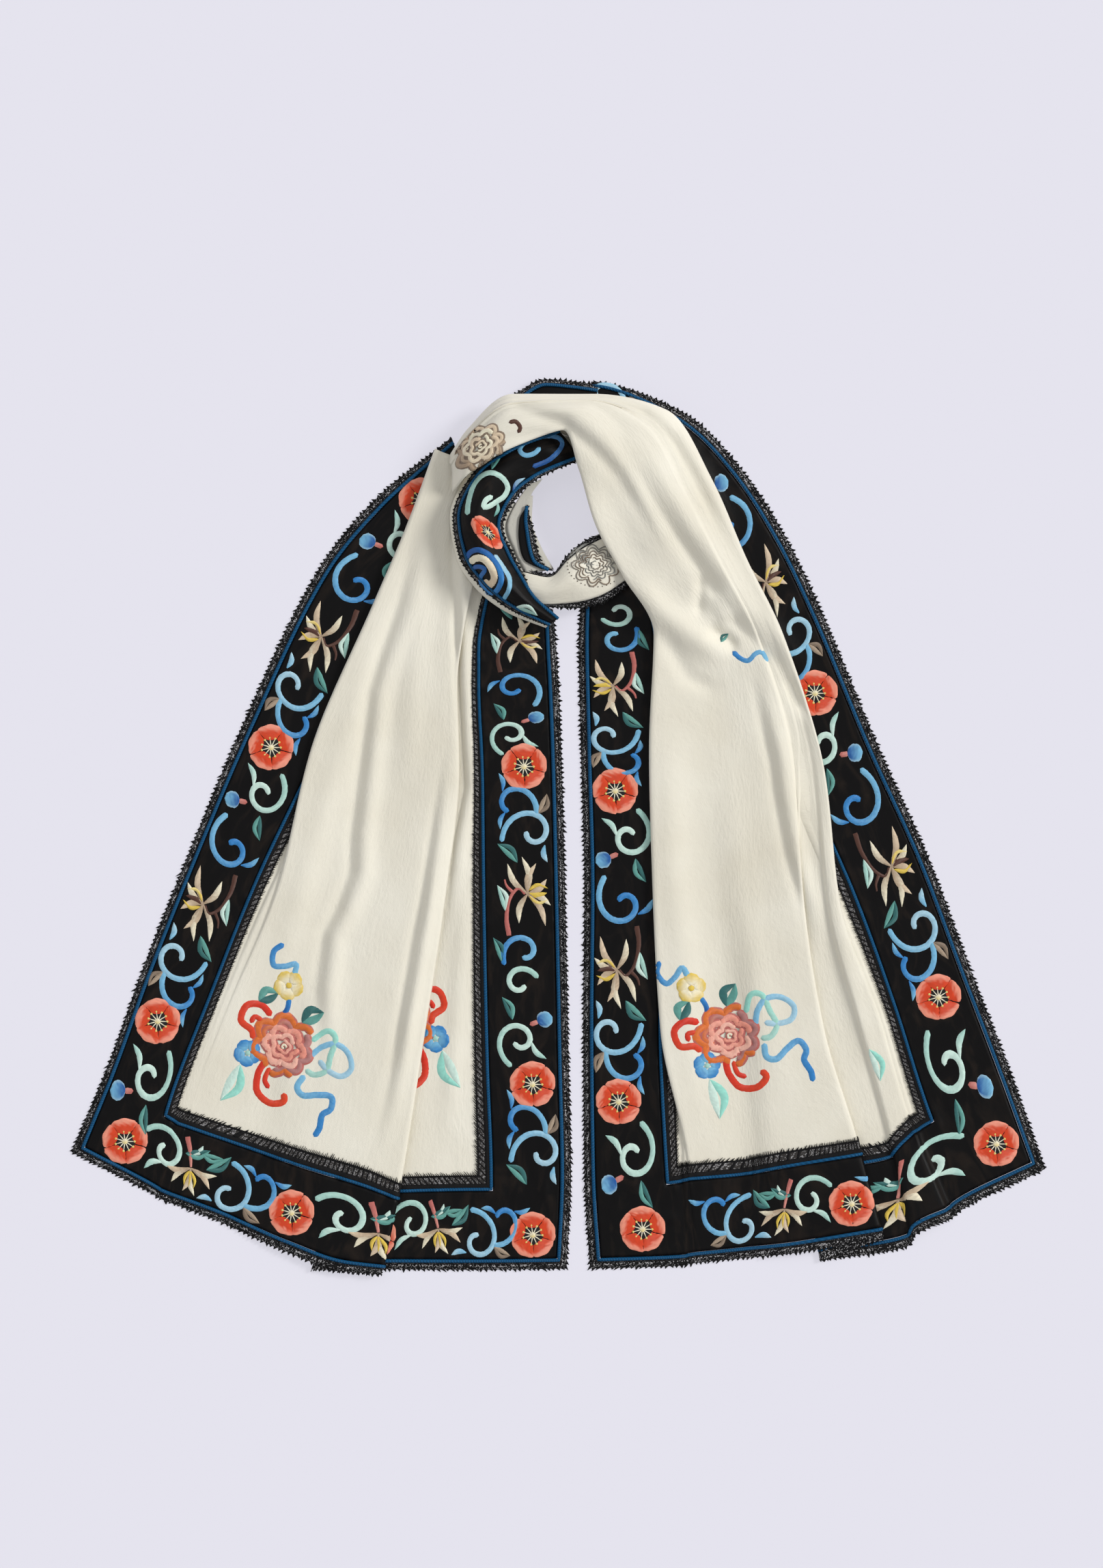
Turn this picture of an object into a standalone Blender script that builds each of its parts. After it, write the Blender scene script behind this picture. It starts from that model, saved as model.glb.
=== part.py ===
"""Embroidered wool scarf, laid flat and wound once round an open neck hole.

The ivory wool ground has a border on every side: picot lace, piping, a satin band,
a second piping and an insertion lace. Each tail and the loop is a sheet laid out by a
table of its lengthwise folds. Tables are in millimetres, the scene in metres, +Z up.
"""

from collections import namedtuple

import bmesh
import bpy
import numpy as np

MM = 0.001
CLOTH = 1.2
PIPING = 2.0
SEAM = 0.4
WOOL_GAP = 1.0
LOOP_EASE = 0.25
GROUND = CLOTH / 2
# A turned edge is at least this round, and its layers join the panels this many radii off.
TURN_LEAST = 1.0
TURN_SPREAD = 1.6
WIDEST_CELL = 34.0
LOOP_CELL = 17.0
NARROWEST_CELL = 0.05
CLEAR_OF_ENDS = 1.0
HIDDEN_SHARES = (0.0, 0.15, 0.5, 0.85, 1.0)

LACE_EDGE = 7.0
PIPING_EDGE = 10.0
SATIN_EDGE = 69.6
INNER_PIPING_EDGE = 72.6
BORDER = 84.6

Strip = namedtuple("Strip", "name start end thickness")
STRIPS = (
    Strip("picot_lace", 0.0, LACE_EDGE, CLOTH),
    Strip("outer_piping", LACE_EDGE + SEAM, PIPING_EDGE, PIPING),
    Strip("satin_band", PIPING_EDGE + SEAM, SATIN_EDGE, CLOTH),
    Strip("inner_piping", SATIN_EDGE + SEAM, INNER_PIPING_EDGE, PIPING),
    Strip("insertion_lace", INNER_PIPING_EDGE + SEAM, BORDER, CLOTH),
)
WOOL_START = BORDER + WOOL_GAP

# A fold is one lengthwise line of the sheet. across is its distance from the sheet's
# first edge on the flat cloth. arrive and leave are the heights of the layers before
# and after it, at the hem, above the hem, in the middle and at the neck, and rise is
# its share of the height that the sheet gains as it climbs over the loop. plan is its
# place at each station.
Fold = namedtuple("Fold", "name across arrive leave rise plan")
HEIGHT_SHARES = (0.0, 0.2, 0.5, 1.0)

LEFT_STATIONS = (0, 85, 177, 307, 426, 538, 590, 654)
LEFT_CLIMB = (0, 0, 0, 0, 0, 1, 2, 3)
LEFT_FOLDS = (
    Fold("outer edge", 0, 0, 0, 0.0, (
        (-429, -286), (-396, -208), (-366, -125), (-323, -17),
        (-275, 97), (-210, 229), (-163, 287), (-94, 343))),
    Fold("border seam", 85, 0, 0, 0.0, (
        (-354, -325), (-333, -245), (-299, -155), (-255, -50),
        (-198, 61), (-135, 191), (-100, 230), (-75, 291))),
    Fold("tuck behind the roll", 93, 0, (0, 0, 2.4, 3), 0.1, (
        (-351, -327), (-330, -247), (-296, -156), (-250, -49),
        (-189, 63), (-127, 190), (-94, 228), (-73, 286))),
    Fold("rolled edge", 106, (0, 0, 2.4, 3), (0, 0, 5, 8), 1.0, (
        (-344, -330), (-324, -249), (-290, -158), (-246, -51),
        (-217, 68), (-161, 199), (-132, 262), (-122, 315))),
    Fold("flat panel", 160, (0, 0, 2, 6), (0, 0, 2, 6), 1.0, (
        (-304, -345), (-272, -266), (-238, -163), (-203, -52),
        (-172, 64), (-141, 178), (-120, 238), (-100, 290))),
    Fold("pleat foot", 214, 4.6, 4.6, 0.8, (
        (-241, -373), (-222, -282), (-189, -173), (-156, -53),
        (-133, 61), (-120, 151), (-107, 207), (-88, 262))),
    Fold("crease", 262, 6.5, 6.5, 0.8, (
        (-189, -391), (-168, -298), (-141, -179), (-119, -59),
        (-104, 61), (-98, 148), (-91, 196), (-78, 246))),
    Fold("pleat edge", 292, 6.5, 3.4, 0.6, (
        (-155, -394), (-138, -311), (-119, -191), (-99, -59),
        (-87, 49), (-89, 127), (-84, 169), (-73, 222))),
    Fold("pleat back", 350, 3.4, 0, 0.3, (
        (-217, -389), (-196, -307), (-166, -188), (-137, -56),
        (-110, 52), (-101, 127), (-93, 169), (-76, 220))),
    Fold("far border seam", 475, 0, 0, 0.1, (
        (-73, -390), (-73, -304), (-75, -206), (-76, -65),
        (-75, 46), (-77, 124), (-76, 157), (-69, 200))),
    Fold("far edge", 560, 0, 0, 0.0, (
        (8, -389), (12, -304), (10, -209), (7, -65),
        (4, 49), (1, 127), (-1, 157), (-4, 187))),
)

RIGHT_STATIONS = (0, 85, 190, 308, 422, 532, 600, 665, 728, 790, 846, 889, 912)
RIGHT_CLIMB = (0, 0, 0, 0, 0, 3, 18, 32, 36, 38, 38, 30, 11)
RIGHT_FOLDS = (
    Fold("inner edge", 0, 0, 0, 0.0, (
        (27, -389), (22, -304), (21, -173), (22, -53), (19, 67), (17, 163), (20, 201),
        (35, 250), (20, 296), (8, 348), (-35, 340), (-75, 320), (-90, 304))),
    Fold("border seam", 85, 0, 0, 0.6, (
        (112, -386), (106, -296), (104, -173), (105, -53), (102, 67), (100, 163), (84, 213),
        (47, 262), (32, 308), (12, 355), (-35, 344), (-75, 323), (-90, 307))),
    Fold("tuck behind the roll", 93, 0, (0, 3, 3, 3), 0.8, (
        (115, -385), (110, -295), (112, -173), (113, -53), (110, 67), (108, 163), (90, 216),
        (54, 262), (38, 307), (15, 359), (-35, 349), (-75, 327), (-90, 310))),
    Fold("rolled edge", 106, (0, 3, 3, 3), (0, 6, 7, 7), 0.9, (
        (121, -384), (114, -294), (90, -179), (83, -53), (80, 67), (84, 169), (56, 221),
        (32, 266), (18, 313), (4, 347), (-37, 336), (-77, 315), (-90, 299))),
    Fold("broad panel", 150, (0, 0.5, 3.5, 6), (0, 0.5, 3.5, 6), 1.0, (
        (160, -380), (162, -290), (150, -176), (142, -53), (141, 64), (133, 166), (100, 223),
        (73, 280), (49, 331), (18, 362), (-39, 356), (-78, 330), (-93, 309))),
    Fold("pleat foot", 206, 5, 5, 0.9, (
        (200, -376), (192, -284), (180, -174), (178, -60), (178, 61), (160, 166), (127, 229),
        (94, 286), (65, 342), (21, 369), (-40, 365), (-79, 335), (-94, 317))),
    Fold("pleat edge", 246, 6.8, (3.4, 3.4, 4.4, 6.8), 0.8, (
        (286, -362), (262, -273), (233, -176), (216, -71), (205, 61), (175, 167), (142, 231),
        (109, 294), (76, 350), (24, 372), (-40, 368), (-80, 339), (-95, 319))),
    Fold("pleat back", 298, (3.4, 3.4, 4.4, 6.8), (0, 0, 4, 6.8), 0.7, (
        (230, -382), (212, -286), (200, -178), (208, -73), (212, 60), (180, 168), (147, 232),
        (114, 296), (80, 353), (26, 373), (-40, 370), (-80, 341), (-95, 321))),
    Fold("strip foot", 376, (0, 0, 4, 6), (0, 0, 4, 6), 0.6, (
        (310, -368), (290, -274), (263, -174), (236, -71), (222, 60), (186, 169), (152, 233),
        (119, 298), (84, 356), (28, 374), (-40, 372), (-80, 343), (-95, 323))),
    Fold("strip edge", 382, (3.5, 3.5, 6, 7), (3.5, 3.5, 6, 7), 0.5, (
        (313, -360), (292, -270), (265, -172), (238, -69), (226, 59), (190, 169), (158, 235),
        (125, 301), (89, 360), (29, 376), (-40, 375), (-80, 345), (-95, 325))),
    Fold("outer rolled edge", 404, (1.5, 4.5, 7, 8), (0.8, 2.4, 3, 3), 0.4, (
        (344, -346), (307, -254), (281, -166), (247, -66), (234, 46), (197, 169), (165, 235),
        (134, 305), (95, 365), (31, 379), (-40, 379), (-79, 349), (-94, 328))),
    Fold("outer tuck", 417, (0.5, 2, 3, 3), 0, 0.35, (
        (348, -343), (311, -252), (284, -163), (243, -63), (198, 37), (149, 153), (120, 213),
        (90, 266), (60, 300), (21, 338), (-33, 352), (-77, 338), (-91, 321))),
    Fold("outer border seam", 425, 0, 0, 0.3, (
        (351, -340), (314, -250), (287, -162), (248, -62), (204, 36), (155, 153), (126, 212),
        (96, 265), (66, 300), (24, 345), (-30, 358), (-77, 341), (-91, 324))),
    Fold("outer edge", 510, 0, 0, 0.0, (
        (429, -301), (396, -209), (365, -130), (326, -27), (281, 73), (231, 192), (200, 256),
        (160, 317), (110, 365), (29, 392), (-22, 385), (-77, 345), (-91, 325))),
)
SHOWN_INNER_BORDER = 588
WRAP_START = 566
WRAP_GAP = 0.8
BACK_BORDER_END = 790

LOOP_STATIONS = (0, 38, 70, 105, 140, 170, 195, 225)
# One row for each line across the loop's border, from the lace at the hole outwards.
Ridge = namedtuple("Ridge", "name across plan heights")
LOOP_RIDGES = (
    Ridge("lace edge", 0, (
        (19, 321), (-17, 305), (-36, 288), (-48, 263), (-39, 239), (-30, 221), (-21, 203), (0, 183)),
        (22, 27, 27, 26, 26, 26, 24, 15)),
    Ridge("crest", 43, (
        (9, 337), (-33, 320), (-60, 303), (-72, 269), (-64, 237), (-49, 216), (-29, 197), (-4, 180)),
        (26, 33, 40, 42, 42, 40, 34, 20)),
    Ridge("border seam", 85, (
        (-3, 350), (-46, 332), (-75, 309), (-92, 272), (-87, 239), (-69, 212), (-42, 191), (-9, 177)),
        (23, 24, 18, 16, 16, 16, 17, 14)),
    Ridge("wool edge", 97, (
        (-6, 352), (-49, 334), (-78, 311), (-95, 272), (-90, 238), (-72, 209), (-44, 188), (-11, 175)),
        (22.6, 19, 13, 11, 11, 11, 11, 10)),
)

BOTTOM_STATIONS = (0, 30, 60, 95)
BOTTOM_RIDGES = (
    Ridge("lace at the hole", 0, (
        (-8, 222), (7, 238), (19, 249), (36, 258)), (24, 24, 21, 17)),
    Ridge("roll", 32, (
        (-13, 207), (12, 217), (30, 226), (52, 238)), (29, 33, 27, 19)),
    Ridge("lace below", 64, (
        (-9.5, 193), (14, 191), (38, 196), (62, 211)), (21, 14, 12, 11)),
)

# The hidden layers inside the loop lie this far below the middle of what covers them.
UNDER_BAND = 1.6
UNDER_WOOL = 1.2
LAYERS_UNDER_BAND = (14.0, 24.0, 34.0, 42.0)
LAYERS_ALONG_BAND = LOOP_STATIONS[2:6]

# Where the wrap covers them, one row gives each section round the hole.
Section = namedtuple("Section", "inner outer inner_height height outer_height")
HIDDEN_STRETCHES = {
    "loop_right_layers": (
        Section((40, 262), (58, 231), 10, 15, 10),
        Section((41, 275), (64, 260), 15, 20, 13),
        Section((32, 298), (48, 296), 17, 22.3, 15),
        Section((23, 315), (35, 325), 17, 22.3, 15),
    ),
    "loop_back_layers": (
        Section((21, 318), (30, 330), 16, 22, 14),
        Section((8, 325), (4, 343), 16, 20, 14),
        Section((-6, 313), (-24, 332), 14, 18, 14),
    ),
}

# The strip of wool that shows inside the hole, below the lace of the loop.
INSIDE_STATIONS = (0, 33, 66, 100)
INSIDE_RIDGES = (
    Ridge("under the lace", 0, (
        (-37, 284), (-45, 263), (-38, 242), (-28, 224)), (23, 23, 23, 23)),
    Ridge("at the hole", 22, (
        (-26, 290), (-26, 270), (-18, 248), (-8, 230)), (20, 20, 20, 20)),
)

# The border that shows behind the wrap, as a low arch.
BACK_STATIONS = (0, 30, 60)
BACK_RIDGES = (
    Ridge("lace edge", 0, ((-40, 380), (-12, 394), (14, 392)), (4, 5, 4)),
    Ridge("band edge", 40, ((-26, 352), (-8, 366), (10, 364)), (9, 14, 12)),
)


def read_curve(places, rows, at):
    """The rows, smoothly joined without overshoot, read at each value of at."""
    places = np.asarray(places, float)
    rows = np.asarray(rows, float)
    at = np.asarray(at, float)
    gaps = np.diff(places)[:, None]
    slopes = np.diff(rows, axis=0) / gaps
    tangents = np.zeros_like(rows)
    before, after = slopes[:-1], slopes[1:]
    same_way = before * after > 0
    total = np.where(same_way, before + after, 1.0)
    tangents[1:-1] = np.where(same_way, 2 * before * after / total, 0.0)
    tangents[0], tangents[-1] = slopes[0], slopes[-1]
    index = np.clip(np.searchsorted(places, at, side="right") - 1, 0, len(places) - 2)
    width = gaps[index]
    t = (at - places[index])[:, None] / width
    return (
        rows[index] * (1 + 2 * t) * (1 - t) ** 2
        + tangents[index] * width * t * (1 - t) ** 2
        + rows[index + 1] * t * t * (3 - 2 * t)
        + tangents[index + 1] * width * t * t * (t - 1)
    )


def unit(vectors):
    return vectors / np.maximum(np.linalg.norm(vectors, axis=-1, keepdims=True), 1e-6)


def lowered(points, depth):
    return points - np.array([0, 0, depth])


class Sheet:
    """Cloth laid out by lengthwise lines. place() turns flat places into points."""

    def __init__(self, stations, lines, width):
        self.stations = stations
        self.across = [across for across, _ in lines]
        self.lines = np.array([points for _, points in lines])
        self.width = width

    def place(self, across, along):
        count = len(self.stations)
        flat = self.lines.reshape(len(self.across), count * 3)
        rows = read_curve(self.across, flat, across).reshape(len(across), count, 3)
        by_station = rows.transpose(1, 0, 2).reshape(count, len(across) * 3)
        points = read_curve(self.stations, by_station, along)
        return points.reshape(len(along), len(across), 3).transpose(1, 0, 2)


def layer_height(heights, shares):
    return np.interp(shares, HEIGHT_SHARES, np.broadcast_to(heights, len(HEIGHT_SHARES)))


def folded_sheet(stations, climb, folds):
    """A tail. Where a fold's layers differ in height, the cloth turns round its edge."""
    shares = np.array(stations) / stations[-1]
    climb = np.array(climb, float)
    plans = [np.array(fold.plan, float) for fold in folds]
    lines = []
    for index, fold in enumerate(folds):
        base = GROUND + climb * fold.rise
        arrive = base + layer_height(fold.arrive, shares)
        leave = base + layer_height(fold.leave, shares)
        plan = plans[index]
        if fold.arrive == fold.leave:
            lines.append((fold.across, np.column_stack([plan, arrive])))
            continue
        radius = np.maximum(np.abs(arrive - leave) / 2, TURN_LEAST)[:, None]
        back = plan - unit(plan - plans[index - 1]) * radius
        onward = plan + unit(plans[index + 1] - plan) * radius
        turn = float(radius.max()) * TURN_SPREAD
        lines.append((fold.across - turn, np.column_stack([back, arrive])))
        lines.append((fold.across, np.column_stack([plan, (arrive + leave) / 2])))
        lines.append((fold.across + turn, np.column_stack([onward, leave])))
    return Sheet(stations, lines, folds[-1].across)


def ridged_sheet(stations, ridges):
    lines = [
        (ridge.across, np.column_stack([ridge.plan, ridge.heights])) for ridge in ridges
    ]
    return Sheet(stations, lines, ridges[-1].across)


def divided(edges, widest=WIDEST_CELL):
    """The edges, with evenly spaced ones between any two that lie far apart."""
    result = [edges[0]]
    for start, end in zip(edges, edges[1:]):
        if end - start < NARROWEST_CELL:
            continue
        steps = max(1, int(np.ceil((end - start) / widest)))
        result.extend(start + (end - start) * step / steps for step in range(1, steps + 1))
    return result


def between(places, start, end):
    """start, end and the places that lie clear of both between them."""
    lowest, highest = start + CLEAR_OF_ENDS, end - CLEAR_OF_ENDS
    return [start] + [place for place in places if lowest < place < highest] + [end]


def new_material(name, colour, roughness):
    material = bpy.data.materials.new(name)
    material.use_nodes = True
    shader = material.node_tree.nodes["Principled BSDF"]
    shader.inputs["Base Color"].default_value = (*colour, 1)
    shader.inputs["Roughness"].default_value = roughness
    shader.inputs["Metallic"].default_value = 0
    return material


def grid_mesh(points):
    """A bmesh of the grid of points, its faces up where both grid directions turn left."""
    rows, columns = points.shape[:2]
    mesh = bmesh.new()
    bmesh.ops.create_grid(mesh, x_segments=rows - 1, y_segments=columns - 1, size=1)
    mesh.verts.ensure_lookup_table()
    for vertex in mesh.verts:
        row = round((vertex.co.x + 1) / 2 * (rows - 1))
        column = round((vertex.co.y + 1) / 2 * (columns - 1))
        vertex.co = points[row, column] * MM
    return mesh


def add_object(name, mesh, material):
    data = bpy.data.meshes.new(name)
    mesh.to_mesh(data)
    mesh.free()
    data.materials.append(material)
    thing = bpy.data.objects.new(name, data)
    bpy.context.scene.collection.objects.link(thing)
    return thing


def add_wall(name, points, material, thickness=CLOTH):
    """A cloth wall round the grid of points. What is thicker than cloth stands proud."""
    thing = add_object(name, grid_mesh(points), material)
    solidify = thing.modifiers.new("Cloth", "SOLIDIFY")
    solidify.thickness = thickness * MM
    solidify.offset = 1 - CLOTH / thickness
    return thing


def add_block(name, points, material):
    """A solid from the grid of points down to the surface that the scarf lies on."""
    mesh = grid_mesh(points)
    made = bmesh.ops.extrude_face_region(mesh, geom=mesh.faces[:])
    for element in made["geom"]:
        if isinstance(element, bmesh.types.BMVert):
            element.co.z = 0
    bmesh.ops.recalc_face_normals(mesh, faces=mesh.faces[:])
    return add_object(name, mesh, material)


def add_strip(name, strip, sheet, across, along, materials):
    points = sheet.place(across, along)
    add_wall(name, points, materials[strip.name], strip.thickness)


def add_border_side(prefix, sheet, from_far_edge, end, materials):
    """The border's strips along one side of a tail, from the hem's strips up to end."""
    for strip in STRIPS:
        across = divided([strip.start, strip.end])
        if from_far_edge:
            across = sorted(sheet.width - place for place in across)
        along = divided(between(sheet.stations, strip.end + SEAM, end))
        add_strip(f"{prefix}_{strip.name}", strip, sheet, across, along, materials)


def add_hem(prefix, sheet, materials):
    """The border's strips along a hem, each across the whole cut up to its corner."""
    for strip in STRIPS:
        across = divided(between(sheet.across, strip.start, sheet.width - strip.start))
        along = divided([strip.start, strip.end])
        add_strip(f"{prefix}_{strip.name}", strip, sheet, across, along, materials)


def add_panel(name, sheet, start, end, material):
    """The wool between the borders of a tail, from start to end along it."""
    across = divided(between(sheet.across, WOOL_START, sheet.width - WOOL_START))
    along = divided(between(sheet.stations, start, end))
    add_wall(name, sheet.place(across, along), material)


def add_loop(materials, lace, wool):
    """The border round the left of the hole, and the wool across the bottom of it."""
    sheet = ridged_sheet(LOOP_STATIONS, LOOP_RIDGES)
    along = divided(list(LOOP_STATIONS))
    for strip in STRIPS:
        edges = between(sheet.across, strip.start + LOOP_EASE, strip.end - LOOP_EASE)
        across = divided(edges, LOOP_CELL)
        add_strip(f"loop_left_{strip.name}", strip, sheet, across, along, materials)
    across = divided([WOOL_START, sheet.width])
    add_wall("loop_left_wool", sheet.place(across, along), wool)

    bottom = ridged_sheet(BOTTOM_STATIONS, BOTTOM_RIDGES)
    along = divided(list(BOTTOM_STATIONS), LOOP_CELL)
    rows = (
        ("loop_bottom_upper_lace", 0, LACE_EDGE, lace),
        ("loop_bottom_wool", LACE_EDGE + SEAM, bottom.width - LACE_EDGE - SEAM, wool),
        ("loop_bottom_lower_lace", bottom.width - LACE_EDGE, bottom.width, lace),
    )
    for name, start, end, material in rows:
        points = bottom.place(divided([start, end], LOOP_CELL), along)
        add_wall(name, points, material)
    inset = divided([LACE_EDGE, bottom.width - LACE_EDGE], LOOP_CELL)
    add_block("loop_bottom_layers", lowered(bottom.place(inset, along), UNDER_WOOL), wool)

    inside = ridged_sheet(INSIDE_STATIONS, INSIDE_RIDGES)
    points = inside.place(divided([0, inside.width], LOOP_CELL), list(INSIDE_STATIONS))
    add_wall("loop_inside_wool", points, wool)

    along = np.array(divided(list(LAYERS_ALONG_BAND)))
    under_band = lowered(sheet.place(LAYERS_UNDER_BAND, along), UNDER_BAND)
    under_wool = lowered(inside.place([inside.width, 0], along - along[0]), UNDER_WOOL)
    add_block("loop_left_layers", np.concatenate([under_wool, under_band]), wool)


def add_back(lace, piping, satin):
    """The border that shows as an arch behind the wrap."""
    sheet = ridged_sheet(BACK_STATIONS, BACK_RIDGES)
    along = divided(list(BACK_STATIONS), LOOP_CELL)
    rows = (
        ("back_picot_lace", 0, LACE_EDGE, lace, CLOTH),
        ("back_piping", LACE_EDGE + SEAM, PIPING_EDGE, piping, PIPING),
        ("back_satin_band", PIPING_EDGE + SEAM, sheet.width, satin, CLOTH),
    )
    for name, start, end, material, thickness in rows:
        points = sheet.place(divided([start, end]), along)
        add_wall(name, points, material, thickness)


def add_hidden_layers(wool):
    """The rolled cloth inside the loop, as rounded solids that stand on the surface."""
    for name, sections in HIDDEN_STRETCHES.items():
        profiles = []
        for section in sections:
            inner, outer = np.array(section.inner), np.array(section.outer)
            heights = (section.inner_height, section.height, section.outer_height)
            shares = np.array(HIDDEN_SHARES)
            plan = inner + (outer - inner) * shares[:, None]
            rounded = read_curve((0, 0.5, 1), np.array(heights)[:, None], shares)
            profiles.append(np.column_stack([plan, rounded]))
        stations = np.arange(len(sections), dtype=float)
        rows = np.array(profiles).reshape(len(sections), -1)
        between_sections = np.linspace(0, stations[-1], 2 * len(sections) - 1)
        points = read_curve(stations, rows, between_sections)
        points = points.reshape(len(between_sections), len(HIDDEN_SHARES), 3)
        add_block(name, points, wool)


def build_scarf():
    for thing in list(bpy.data.objects):
        bpy.data.objects.remove(thing, do_unlink=True)
    lace = new_material("black lace", (0.021, 0.021, 0.023), 0.8)
    piping = new_material("blue piping", (0.007, 0.070, 0.22), 0.45)
    satin = new_material("black satin", (0.004, 0.0035, 0.0036), 0.35)
    wool = new_material("ivory wool", (0.77, 0.73, 0.62), 0.85)
    materials = {
        "picot_lace": lace, "outer_piping": piping, "satin_band": satin,
        "inner_piping": piping, "insertion_lace": lace,
    }

    left = folded_sheet(LEFT_STATIONS, LEFT_CLIMB, LEFT_FOLDS)
    add_border_side("left_tail_outer", left, False, left.stations[-1], materials)
    add_border_side("left_tail_inner", left, True, left.stations[-1], materials)
    add_hem("left_tail_hem", left, materials)
    add_panel("left_tail_wool", left, WOOL_START, left.stations[-1], wool)

    right = folded_sheet(RIGHT_STATIONS, RIGHT_CLIMB, RIGHT_FOLDS)
    add_border_side("right_tail_inner", right, False, SHOWN_INNER_BORDER, materials)
    add_border_side("right_tail_outer", right, True, BACK_BORDER_END, materials)
    add_hem("right_tail_hem", right, materials)
    add_panel("right_tail_wool", right, WOOL_START, WRAP_START - WRAP_GAP, wool)
    add_panel("wrap_wool", right, WRAP_START, right.stations[-1], wool)

    add_loop(materials, lace, wool)
    add_back(lace, piping, satin)
    add_hidden_layers(wool)


build_scarf()
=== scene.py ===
"""Looks of an embroidered wool scarf, laid flat and wound once round a neck hole.

The cloth is laid out by the same lengthwise lines as its solids. Each panel is a thin
shell on that form, and its creases, lace, piping and embroidery follow the cloth.
Tables are in millimetres and the scene is in metres, with +Z up.
"""

import functools
import logging
import math
from collections.abc import Callable, Iterable, Sequence
from dataclasses import dataclass, field, replace
from enum import Enum

import bmesh
import bpy
import numpy as np
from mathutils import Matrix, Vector


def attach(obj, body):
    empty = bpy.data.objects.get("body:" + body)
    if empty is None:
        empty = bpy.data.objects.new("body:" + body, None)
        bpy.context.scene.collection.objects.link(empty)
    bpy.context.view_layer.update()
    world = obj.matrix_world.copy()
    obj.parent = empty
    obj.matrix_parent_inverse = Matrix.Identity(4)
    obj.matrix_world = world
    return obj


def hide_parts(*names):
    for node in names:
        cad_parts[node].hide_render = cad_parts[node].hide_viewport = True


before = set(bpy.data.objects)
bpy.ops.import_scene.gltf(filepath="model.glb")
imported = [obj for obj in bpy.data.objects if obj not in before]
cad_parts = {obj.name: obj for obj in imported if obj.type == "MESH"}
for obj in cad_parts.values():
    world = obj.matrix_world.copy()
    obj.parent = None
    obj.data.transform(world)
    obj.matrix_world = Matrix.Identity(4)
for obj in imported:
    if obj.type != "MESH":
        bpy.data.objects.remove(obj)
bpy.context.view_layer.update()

log = logging.getLogger("scarf")
MM = 0.001

# The edges of the border's strips, from the cut edge in.
LACE_EDGE = 7.0
PIPING_EDGE = 10.0
SATIN_EDGE = 69.6
INNER_PIPING_EDGE = 72.6
OUTER_CORD = (LACE_EDGE + PIPING_EDGE) / 2
INNER_CORD = (SATIN_EDGE + INNER_PIPING_EDGE) / 2

CLOTH = 1.2
GROUND = CLOTH / 2
TURN_LEAST = 1.0
TURN_SPREAD = 1.6
HEIGHT_SHARES = (0.0, 0.2, 0.5, 1.0)

Point = tuple[float, float]
Plan = tuple[Point, ...]
Heights = float | tuple[float, ...]
Socket = bpy.types.NodeSocket
Value = float | tuple | Socket


@dataclass(frozen=True)
class Fold:
    """One lengthwise line of a tail.

    across is its distance from the sheet's first edge on the flat cloth. arrive and
    leave are the heights of the layers before and after it, from the hem to the neck.
    rise is its share of the height that the sheet gains as it climbs over the loop.
    """

    name: str
    across: float
    arrive: Heights
    leave: Heights
    rise: float
    plan: Plan


@dataclass(frozen=True)
class Ridge:
    """One line across the loop's border, from the lace at the hole outwards."""

    name: str
    across: float
    plan: Plan
    heights: tuple[float, ...]


LEFT_STATIONS = (0, 85, 177, 307, 426, 538, 590, 654)
LEFT_CLIMB = (0, 0, 0, 0, 0, 1, 2, 3)
LEFT_FOLDS = (
    Fold("outer edge", 0, 0, 0, 0.0, (
        (-429, -286), (-396, -208), (-366, -125), (-323, -17),
        (-275, 97), (-210, 229), (-163, 287), (-94, 343))),
    Fold("border seam", 85, 0, 0, 0.0, (
        (-354, -325), (-333, -245), (-299, -155), (-255, -50),
        (-198, 61), (-135, 191), (-100, 230), (-75, 291))),
    Fold("tuck behind the roll", 93, 0, (0, 0, 2.4, 3), 0.1, (
        (-351, -327), (-330, -247), (-296, -156), (-250, -49),
        (-189, 63), (-127, 190), (-94, 228), (-73, 286))),
    Fold("rolled edge", 106, (0, 0, 2.4, 3), (0, 0, 5, 8), 1.0, (
        (-344, -330), (-324, -249), (-290, -158), (-246, -51),
        (-217, 68), (-161, 199), (-134, 262), (-108, 332))),
    Fold("flat panel", 160, (0, 0, 2, 6), (0, 0, 2, 6), 1.0, (
        (-304, -345), (-272, -266), (-238, -163), (-203, -52),
        (-172, 64), (-141, 178), (-120, 240), (-85, 320))),
    Fold("pleat foot", 214, 4.6, 4.6, 0.8, (
        (-241, -373), (-222, -282), (-189, -173), (-156, -53),
        (-133, 61), (-120, 151), (-107, 207), (-80, 284))),
    Fold("crease", 262, 6.5, 6.5, 0.8, (
        (-189, -391), (-168, -298), (-141, -179), (-119, -59),
        (-104, 61), (-98, 148), (-91, 196), (-78, 246))),
    Fold("pleat edge", 292, 6.5, 3.4, 0.6, (
        (-155, -394), (-138, -311), (-119, -191), (-99, -59),
        (-87, 49), (-89, 127), (-84, 169), (-73, 222))),
    Fold("pleat back", 350, 3.4, 0, 0.3, (
        (-217, -389), (-196, -307), (-166, -188), (-137, -56),
        (-110, 52), (-101, 127), (-93, 169), (-76, 220))),
    Fold("far border seam", 475, 0, 0, 0.1, (
        (-73, -390), (-73, -304), (-75, -206), (-76, -65),
        (-75, 46), (-77, 124), (-76, 157), (-65, 214))),
    Fold("far edge", 560, 0, 0, 0.0, (
        (8, -389), (12, -304), (10, -209), (7, -65),
        (4, 49), (1, 127), (-1, 157), (-4, 191))),
)

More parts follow.
